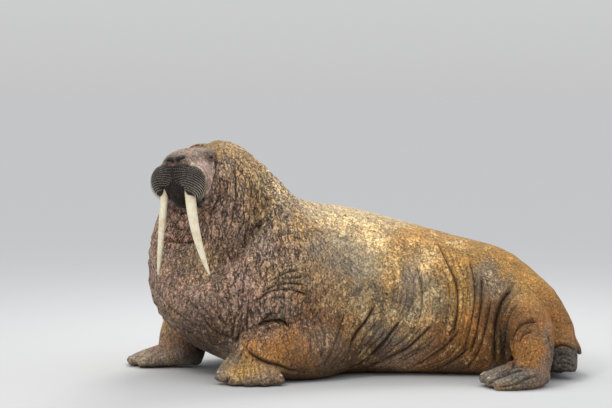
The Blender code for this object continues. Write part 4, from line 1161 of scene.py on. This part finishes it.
ivory, n, shader = new_material("ivory")
place = n.add("ShaderNodeTexCoord").outputs["Object"]
along = n.scaled(place, (1.0, 1.0, 0.05))
lines = n.noise(along, 260.0, 4.0, 0.6)
clouds = n.noise(place, 24.0, 4.0, 0.6)
colour = n.mix(n.step(0.42, 0.66, clouds), (0.80, 0.735, 0.56, 1), (0.70, 0.58, 0.38, 1))
colour = n.mix(n.math("MULTIPLY", n.step(0.56, 0.72, lines), 0.55), colour, (0.42, 0.32, 0.19, 1))
root_in = n.field("root")
colour = n.mix(n.math("MULTIPLY", root_in, 0.55), colour, (0.40, 0.29, 0.17, 1))
n.put(shader.inputs["Base Color"], colour)
height = n.math("MULTIPLY", lines, 0.0012)
bump = n.add("ShaderNodeBump", {"Height": height, "Strength": 0.6, "Distance": 1.0})
n.put(shader.inputs["Normal"], bump.outputs[0])
shader.inputs["Roughness"].default_value = 0.38
shader.inputs["Coat Weight"].default_value = 0.12
shader.inputs["Subsurface Weight"].default_value = 0.08
shader.inputs["Subsurface Radius"].default_value = (0.012, 0.008, 0.005)

for side, label in ((1, "left"), (-1, "right")):
    root = Vector((TUSK_ROOT[0], side * TUSK_ROOT[1], TUSK_ROOT[2]))
    turn = Matrix.Rotation(side * TUSK_TWIST, 3, "Z")
    rings = []
    shades = []
    for t in np.linspace(0, 0.998, 90):
        centre = root + Vector((-0.085 * t * t, side * (0.030 * t + 0.056 * t * t),
                                -TUSK_LENGTH * t))
        taper = (1 - t ** 3) ** 0.5 * (1 - 0.30 * t) / 2
        ring = []
        for a in np.linspace(0, 2 * math.pi, 44, endpoint=False):
            furrow = 1 - 0.018 * max(0.0, math.cos(5 * a + 0.6 + 0.8 * t)) ** 6
            furrow -= 0.012 * max(0.0, math.cos(3 * a + 2.0 - 0.5 * t)) ** 8
            ring.append(np.array(HEAD @ (centre + turn @ Vector((
                TUSK_DEPTH * taper * furrow * math.cos(a),
                TUSK_WIDTH * taper * furrow * math.sin(a), 0)))))
            shades.append(math.exp(-(max(t - 0.06, 0) / 0.07) ** 2))
        rings.append(ring)
    tusk = skin_rings("ivory_" + label, rings)
    store(tusk, "root", [1.0, *shades, 0.0])
    tusk.data.materials.append(ivory)
    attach(tusk, "root")
    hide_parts("tusk_" + label)

# Eyes. Small, dark and wet, each in loose wrinkled lids with a pinkish inner rim.
EYE_RADIUS = 0.0165
OPENING = (0.0150, 0.0126)

eye_material, n, shader = new_material("eyeball")
place = n.add("ShaderNodeTexCoord").outputs["Object"]
iris_in = n.field("iris")
colour = n.mix(n.step(0.20, 0.30, iris_in), (0.16, 0.085, 0.065, 1), (0.020, 0.012, 0.008, 1))
colour = n.mix(n.step(0.78, 0.84, iris_in), colour, (0.004, 0.004, 0.004, 1))
n.put(shader.inputs["Base Color"], colour)
shader.inputs["Roughness"].default_value = 0.08
shader.inputs["Specular IOR Level"].default_value = 0.40

lid_material, n, shader = new_material("eyelid")
place = n.add("ShaderNodeTexCoord").outputs["Object"]
rim_in = n.field("rim")
fine = n.noise(place, 240.0, 4.0, 0.65)
colour = n.mix(n.step(0.35, 0.65, fine), (0.120, 0.084, 0.066, 1), (0.24, 0.165, 0.130, 1))
colour = n.mix(n.step(0.75, 1.0, rim_in), colour, (0.14, 0.070, 0.060, 1))
n.put(shader.inputs["Base Color"], colour)
bump = n.add("ShaderNodeBump", {"Height": n.math("MULTIPLY", fine, 0.0012), "Distance": 1.0})
n.put(shader.inputs["Normal"], bump.outputs[0])
shader.inputs["Roughness"].default_value = 0.60
shader.inputs["Specular IOR Level"].default_value = 0.20

tree = surface_tree(skin)
for side, label in ((1, "left"), (-1, "right")):
    outward = (HEAD.to_3x3() @ Vector((0.42, side * 0.88, 0.16))).normalized()
    low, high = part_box("eye_" + label)
    centre = (low + high) / 2
    eye_frame = frame_from(centre, outward, HEAD.to_3x3() @ Vector((0.1, 0, 1)))
    ball = ellipsoid("eyeball_" + label, eye_frame, (EYE_RADIUS,) * 3, (0, 90, 0), 40)
    ahead = (points_of(ball) - np.array(centre)) @ np.array(outward) / EYE_RADIUS
    store(ball, "iris", np.clip((ahead - 0.45) / 0.55, 0, 1))
    ball.data.materials.append(eye_material)
    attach(ball, "root")
    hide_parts("eye_" + label)

    # each lid row runs round the opening, from the wet rim on the ball out under the skin
    verts = []
    rims = []
    around_count = 48
    rows = 12
    for i in range(rows):
        s = i / (rows - 1)
        for k in range(around_count):
            a = 2 * math.pi * k / around_count
            upper = 1.0 if math.sin(a) > 0 else 0.86
            y = math.cos(a) * (OPENING[0] + 0.013 * s)
            z = math.sin(a) * (OPENING[1] * upper + 0.016 * s)
            thick = 0.0004 + 0.0042 * math.sin(math.pi * min(1.0, s * 1.25)) ** 0.7
            thick += 0.0011 * math.cos(s * 16.0) * math.sin(math.pi * s)
            thick -= 0.0105 * max(0.0, s - 0.62) / 0.38
            reach = EYE_RADIUS + 0.0006
            x = math.sqrt(max(reach * reach - min(y * y + z * z, reach * reach * 0.92), 0.0))
            x -= 0.45 * max(0.0, math.hypot(y, z) - reach * 0.92)
            verts.append(eye_frame @ Vector((x + thick, y, z)))
            rims.append(1 - s)
    faces = []
    for i in range(rows - 1):
        for k in range(around_count):
            m = (k + 1) % around_count
            faces.append((i * around_count + k, i * around_count + m,
                          (i + 1) * around_count + m, (i + 1) * around_count + k))
    lids = object_from("eyelids_" + label, verts, faces)
    store(lids, "rim", rims)
    lids.data.materials.append(lid_material)
    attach(lids, "root")

# Whiskers. Hundreds of short stiff bristles in curved rows over both pads, worn to stubs on
# top and longer, paler and curved at the pads' lower rear edges.
WHISKER_ARCS = 17
WHISKER_SPACING = 0.0072
WHISKER_WIDTH = 0.0021
WHISKER_SEED = 7

whisker_material, n, shader = new_material("whisker")
place = n.add("ShaderNodeTexCoord").outputs["Object"]
patchy = n.noise(place, 60.0, 2.0)
colour = n.mix(n.field("tone"), n.mix(patchy, (0.20, 0.175, 0.15, 1), (0.38, 0.34, 0.29, 1)),
               n.mix(patchy, (0.56, 0.48, 0.34, 1), (0.88, 0.80, 0.62, 1)))
n.put(shader.inputs["Base Color"], colour)
shader.inputs["Roughness"].default_value = 0.45

rng = np.random.default_rng(WHISKER_SEED)
turn = HEAD.to_3x3()
roots = []
leans = []
lengths = []
tones = []
for side in (1, -1):
    # the rows are rings round an axis that leaves the pad's core towards the tusk's root
    core = head_point((0.082, side * 0.088, -0.122))
    axis = (turn @ Vector((0.62, side * -0.10, -0.78))).normalized()
    first = (turn @ Vector((0.60, side * -0.62, 0.50)))
    first = (first - axis * first.dot(axis)).normalized()
    second = axis.cross(first) * side
    for arc in range(WHISKER_ARCS):
        cone = math.radians(22 + 5.9 * arc)
        count = int(2 * math.pi * 0.105 * math.sin(cone) / WHISKER_SPACING)
        for k in range(count):
            a = 2 * math.pi * (k + 0.5 * (arc % 2) + rng.uniform(-0.12, 0.12)) / count
            ring_way = first * math.cos(a) + second * math.sin(a)
            ray = axis * math.cos(cone) + ring_way * math.sin(cone)
            spot, normal, _, _ = tree.ray_cast(core, ray)
            if spot is None:
                continue
            inside = HEAD.inverted() @ spot
            y = abs(inside.y)
            edge = np.interp(inside.z, PAD_HEIGHTS, PAD_REAR)
            if inside.x < edge + 0.002 or inside.z > -0.058 - 0.09 * max(y - 0.10, 0):
                continue
            if inside.y * side < 0.002:
                continue
            if y < 0.070 and inside.z < -0.142 - 0.35 * y:
                continue
            if math.hypot(inside.x - TUSK_ROOT[0], y - TUSK_ROOT[1]) < 0.036 and inside.z < -0.14:
                continue
            way = second * math.cos(a) - first * math.sin(a)
            if way.dot(turn @ Vector((0, side, -1.4))) < 0:
                way = -way
            low = min(1.0, max(0.0, (-0.11 - inside.z) / 0.11))
            outer = min(1.0, max(0.0, (y - 0.09) / 0.07))
            lean = way + normal * (0.34 + 0.20 * low) + turn @ Vector((0, 0, -0.30 * low))
            roots.append(spot - normal * 0.0008)
            leans.append(lean.normalized())
            lengths.append((0.0068 + 0.004 * low + 0.022 * low * outer) * rng.uniform(0.8, 1.2))
            tones.append((0.10 + 0.90 * low * (0.35 + 0.65 * outer)) * rng.uniform(0.6, 1.0))

# one bristle of unit length along Z, bent a little, five-sided and tapered
rings = []
for t in (0.0, 0.3, 0.6, 0.85):
    radius = 0.5 * (1 - 0.55 * t)
    rings.append([np.array((radius * math.cos(a) + 2.2 * t * t, radius * math.sin(a), t))
                  for a in np.linspace(0, 2 * math.pi, 5, endpoint=False)])
rings.append([np.array((0.10 * math.cos(a) + 2.9, 0.10 * math.sin(a), 1.0))
              for a in np.linspace(0, 2 * math.pi, 5, endpoint=False)])
bristle = skin_rings("bristle", rings)

whiskers = object_from("whiskers", roots, [])
turned = []
for lean in leans:
    across_lean = Vector((0, 0, -1)) - lean * lean.dot(Vector((0, 0, -1)))
    turned.append(Matrix((across_lean.normalized(), lean.cross(across_lean).normalized(), lean))
                  .transposed().to_euler())
store(whiskers, "turn", [tuple(e) for e in turned], "FLOAT_VECTOR")
store(whiskers, "size", [(WHISKER_WIDTH, WHISKER_WIDTH, length) for length in lengths],
      "FLOAT_VECTOR")
store(whiskers, "tone", tones)


def scatter(obj, thing, material):
    """Set a thing on each of the object's points, by its turn and size, as one plain mesh."""
    group = bpy.data.node_groups.new("scatter", "GeometryNodeTree")
    group.is_modifier = True
    group.interface.new_socket("Geometry", in_out="INPUT", socket_type="NodeSocketGeometry")
    for label, kind in (("Thing", "NodeSocketObject"), ("Material", "NodeSocketMaterial")):
        group.interface.new_socket(label, in_out="INPUT", socket_type=kind)
    group.interface.new_socket("Geometry", in_out="OUTPUT", socket_type="NodeSocketGeometry")
    g = Nodes(group)
    given = g.add("NodeGroupInput").outputs
    info = g.add("GeometryNodeObjectInfo", {"Object": given["Thing"]})
    turn_in = g.add("GeometryNodeInputNamedAttribute", {"Name": "turn"}, data_type="FLOAT_VECTOR")
    size_in = g.add("GeometryNodeInputNamedAttribute", {"Name": "size"}, data_type="FLOAT_VECTOR")
    euler = g.add("FunctionNodeEulerToRotation", {0: turn_in.outputs[0]})
    points_node = g.add("GeometryNodeMeshToPoints", {"Mesh": given["Geometry"]})
    placed = g.add("GeometryNodeInstanceOnPoints", {
        "Points": points_node.outputs[0], "Instance": info.outputs["Geometry"],
        "Rotation": euler.outputs[0], "Scale": size_in.outputs[0]})
    real = g.add("GeometryNodeRealizeInstances", {0: placed.outputs[0]})
    painted = g.add("GeometryNodeSetMaterial", {"Geometry": real.outputs[0],
                                                "Material": given["Material"]})
    out = g.add("NodeGroupOutput")
    group.links.new(painted.outputs[0], out.inputs[0])
    modifier = obj.modifiers.new("scatter", "NODES")
    modifier.node_group = group
    for item in group.interface.items_tree:
        if item.in_out == "INPUT" and item.name == "Thing":
            modifier[item.identifier] = thing
        if item.in_out == "INPUT" and item.name == "Material":
            modifier[item.identifier] = material
    evaluated = obj.evaluated_get(bpy.context.evaluated_depsgraph_get())
    mesh = bpy.data.meshes.new_from_object(evaluated)
    obj.modifiers.clear()
    obj.data = mesh
    mesh.shade_smooth()
    bpy.data.objects.remove(thing)


scatter(whiskers, bristle, whisker_material)
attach(whiskers, "root")

# Coat. Short stiff hair lies flat over loins, rump and back, and clumps into small tufts that
# point towards the tail and down. They are densest where the coat is unworn.
TUFTS = 16000
TUFT_LENGTH = 0.015
TUFT_WIDTH = 0.0036
TUFT_PATCH = 0.003
TUFT_SEED = 11

coat_material, n, shader = new_material("coat")
tint = n.add("ShaderNodeAttribute", attribute_name="tint").outputs["Color"]
n.put(shader.inputs["Base Color"], tint)
shader.inputs["Roughness"].default_value = 0.70
shader.inputs["Specular IOR Level"].default_value = 0.20

rng = np.random.default_rng(TUFT_SEED)
mesh = skin.data
mesh.calc_loop_triangles()
corners = numbers(mesh.loop_triangles, "vertices", 3, np.int32)
points = points_of(skin)
normals = points_of(skin, "normal")
held = numbers(mesh.attributes["furry"].data, "value", 1)[:, 0]
hues = numbers(mesh.attributes["paint"].data, "color", 4)
a, b, c = points[corners[:, 0]], points[corners[:, 1]], points[corners[:, 2]]
areas = np.linalg.norm(np.cross(b - a, c - a), axis=1)
chance = areas * np.clip(held[corners].mean(axis=1), 0, 1) * (a[:, 2] > 0.07)
chosen = rng.choice(len(corners), TUFTS, p=chance / chance.sum())
share = rng.dirichlet((1, 1, 1), TUFTS)
roots = (points[corners[chosen]] * share[..., None]).sum(axis=1)
ups = (normals[corners[chosen]] * share[..., None]).sum(axis=1)
ups /= np.linalg.norm(ups, axis=1)[:, None]
lie = np.array((0.85, 0.0, -0.50)) + rng.normal(0, 0.16, (TUFTS, 3))
lie -= ups * (lie * ups).sum(axis=1)[:, None]
lie /= np.linalg.norm(lie, axis=1)[:, None]
leans = lie + ups * rng.uniform(0.08, 0.20, (TUFTS, 1))
leans /= np.linalg.norm(leans, axis=1)[:, None]
sides = np.cross(ups, leans)
sides /= np.linalg.norm(sides, axis=1)[:, None]
tints = hues[corners[chosen]].mean(axis=1)
tints[:, :3] *= rng.uniform(0.70, 1.35, (TUFTS, 1))
sizes = np.outer(rng.uniform(0.7, 1.2, TUFTS), (TUFT_WIDTH, TUFT_WIDTH * 0.4, TUFT_LENGTH))
turns = [Matrix((side, np.cross(lean, side), lean)).transposed().to_euler()
         for side, lean in zip(sides, leans)]

# where each root lies on the skin rolled out flat: along the trunk, and round its middle
order = np.argsort(TRUNK_MIDDLE[:, 0])
middle_y = np.interp(roots[:, 0], TRUNK_MIDDLE[order, 0], TRUNK_MIDDLE[order, 1])
rolled_u = (roots[:, 0] - points[:, 0].min()) / np.ptp(points[:, 0])
rolled_v = np.arctan2(roots[:, 1] - middle_y, roots[:, 2] - 0.35) / (2 * math.pi) + 0.5

# one tuft of unit size along Z: a flat wedge that tapers and leans in towards the skin
rings = [[np.array((wide * math.cos(t), wide * math.sin(t) - bow, z))
          for t in (0.5, 2.6, 4.7)] for z, wide, bow in ((0, 0.5, 0), (1, 0.06, 0.8))]
tuft = skin_rings("tuft", rings)
coat = object_from("coat", roots - ups * 0.0006, [])
store(coat, "turn", [tuple(e) for e in turns], "FLOAT_VECTOR")
store(coat, "size", sizes, "FLOAT_VECTOR")
store(coat, "rolled", np.column_stack([rolled_u, rolled_v, np.zeros(TUFTS)]), "FLOAT_VECTOR")
store(coat, "tint", tints, "FLOAT_COLOR")
own = points_of(tuft)[:, [0, 2]]
own = ((own - own.min(axis=0)) / np.ptp(own, axis=0) - 0.5) * TUFT_PATCH
scatter(coat, tuft, coat_material)
mesh = coat.data
corner_points = numbers(mesh.loops, "vertex_index", 1, np.int32)[:, 0]
rolled = numbers(mesh.attributes["rolled"].data, "vector", 3)[:, :2] + np.tile(own, (TUFTS, 1))
layer = mesh.uv_layers.new(name="OFBake")
layer.data.foreach_set("uv", rolled[corner_points].astype(np.float32).ravel())
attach(coat, "root")

# Claws. A small blunt horn claw lies on top of each digit, a little behind its end.
CLAW_LENGTH = 0.024

claw_material, n, shader = new_material("claw")
place = n.add("ShaderNodeTexCoord").outputs["Object"]
colour = n.mix(n.noise(place, 90.0, 3.0), (0.30, 0.25, 0.19, 1), (0.60, 0.53, 0.42, 1))
n.put(shader.inputs["Base Color"], colour)
shader.inputs["Roughness"].default_value = 0.4

for label, (wrist, tips, thick, up) in HANDS.items():
    claws = []
    for tip in tips:
        wrist_at = Vector(wrist) + SHIFT
        tip_at = Vector(tip) + SHIFT
        along = (tip_at - wrist_at).normalized()
        spot, normal, _, _ = tree.ray_cast(wrist_at.lerp(tip_at, 0.95) + Vector((0, 0, 0.10)),
                                           Vector((0, 0, -1)))
        claw_frame = frame_from(spot - normal * 0.0015, along, normal)
        rings = []
        for t in np.linspace(0.02, 0.98, 12):
            wide = CLAW_LENGTH * 0.27 * math.sin(math.pi * (0.12 + 0.80 * t)) ** 0.6
            rings.append([np.array(claw_frame @ Vector((
                CLAW_LENGTH * (t - 0.45), wide * math.cos(a),
                wide * 0.62 * math.sin(a) + 0.0022 * math.sin(math.pi * t))))
                for a in np.linspace(0, 2 * math.pi, 14, endpoint=False)])
        claws.append(skin_rings("claw", rings))
    claw_row = joined(claws, "claws_" + label)
    claw_row.data.materials.append(claw_material)
    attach(claw_row, "root")

# Stage. A pale floor and soft light from above, as under an overcast sky. The sky grows
# brighter with height, and at the horizon it is as bright as the floor that it lights, so that
# no line shows between them.
FLOOR_HALF = 900.0
HORIZON = 0.56
RISE = 0.95
floor_share = HORIZON / (HORIZON + RISE * 2 / 3)
floor_mesh = bpy.data.meshes.new("floor")
floor_mesh.from_pydata([(-FLOOR_HALF, -FLOOR_HALF, -0.001), (FLOOR_HALF, -FLOOR_HALF, -0.001),
                        (FLOOR_HALF, FLOOR_HALF, -0.001), (-FLOOR_HALF, FLOOR_HALF, -0.001)],
                       [], [(0, 1, 2, 3)])
floor = bpy.data.objects.new("floor", floor_mesh)
bpy.context.scene.collection.objects.link(floor)
floor_material, n, shader = new_material("floor")
shader.inputs["Base Color"].default_value = (floor_share, floor_share, floor_share, 1)
shader.inputs["Roughness"].default_value = 1.0
shader.inputs["Specular IOR Level"].default_value = 0.0
floor_mesh.materials.append(floor_material)

world = bpy.data.worlds.new("studio")
bpy.context.scene.world = world
world.use_nodes = True
n = Nodes(world.node_tree)
way = n.add("ShaderNodeTexCoord").outputs["Generated"]
rise_in = n.add("ShaderNodeSeparateXYZ", {0: way}).outputs[2]
high = n.math("MAXIMUM", rise_in, 0.0)
sky = n.add("ShaderNodeCombineColor", {"Red": n.math("MULTIPLY_ADD", high, RISE * 0.97, HORIZON),
                                       "Green": n.math("MULTIPLY_ADD", high, RISE, HORIZON),
                                       "Blue": n.math("MULTIPLY_ADD", high, RISE * 1.05, HORIZON)})
background = world.node_tree.nodes["Background"]
n.put(background.inputs["Color"], sky.outputs[0])
background.inputs["Strength"].default_value = 1.0


def area_light(name, place, target, size, power, colour):
    light = bpy.data.lights.new(name, "AREA")
    light.shape = "DISK"
    light.size = size
    light.energy = power
    light.color = colour
    obj = bpy.data.objects.new(name, light)
    bpy.context.scene.collection.objects.link(obj)
    obj.location = place
    obj.rotation_euler = (Vector(target) - Vector(place)).to_track_quat("-Z", "Y").to_euler()


area_light("key", (-2.6, -3.2, 4.8), (-0.3, 0.0, 0.7), size=1.5, power=95.0,
           colour=(1.0, 0.96, 0.90))
area_light("rim", (0.2, 2.2, 4.4), (0.0, 0.2, 0.8), size=2.0, power=120.0,
           colour=(1.0, 0.99, 0.96))
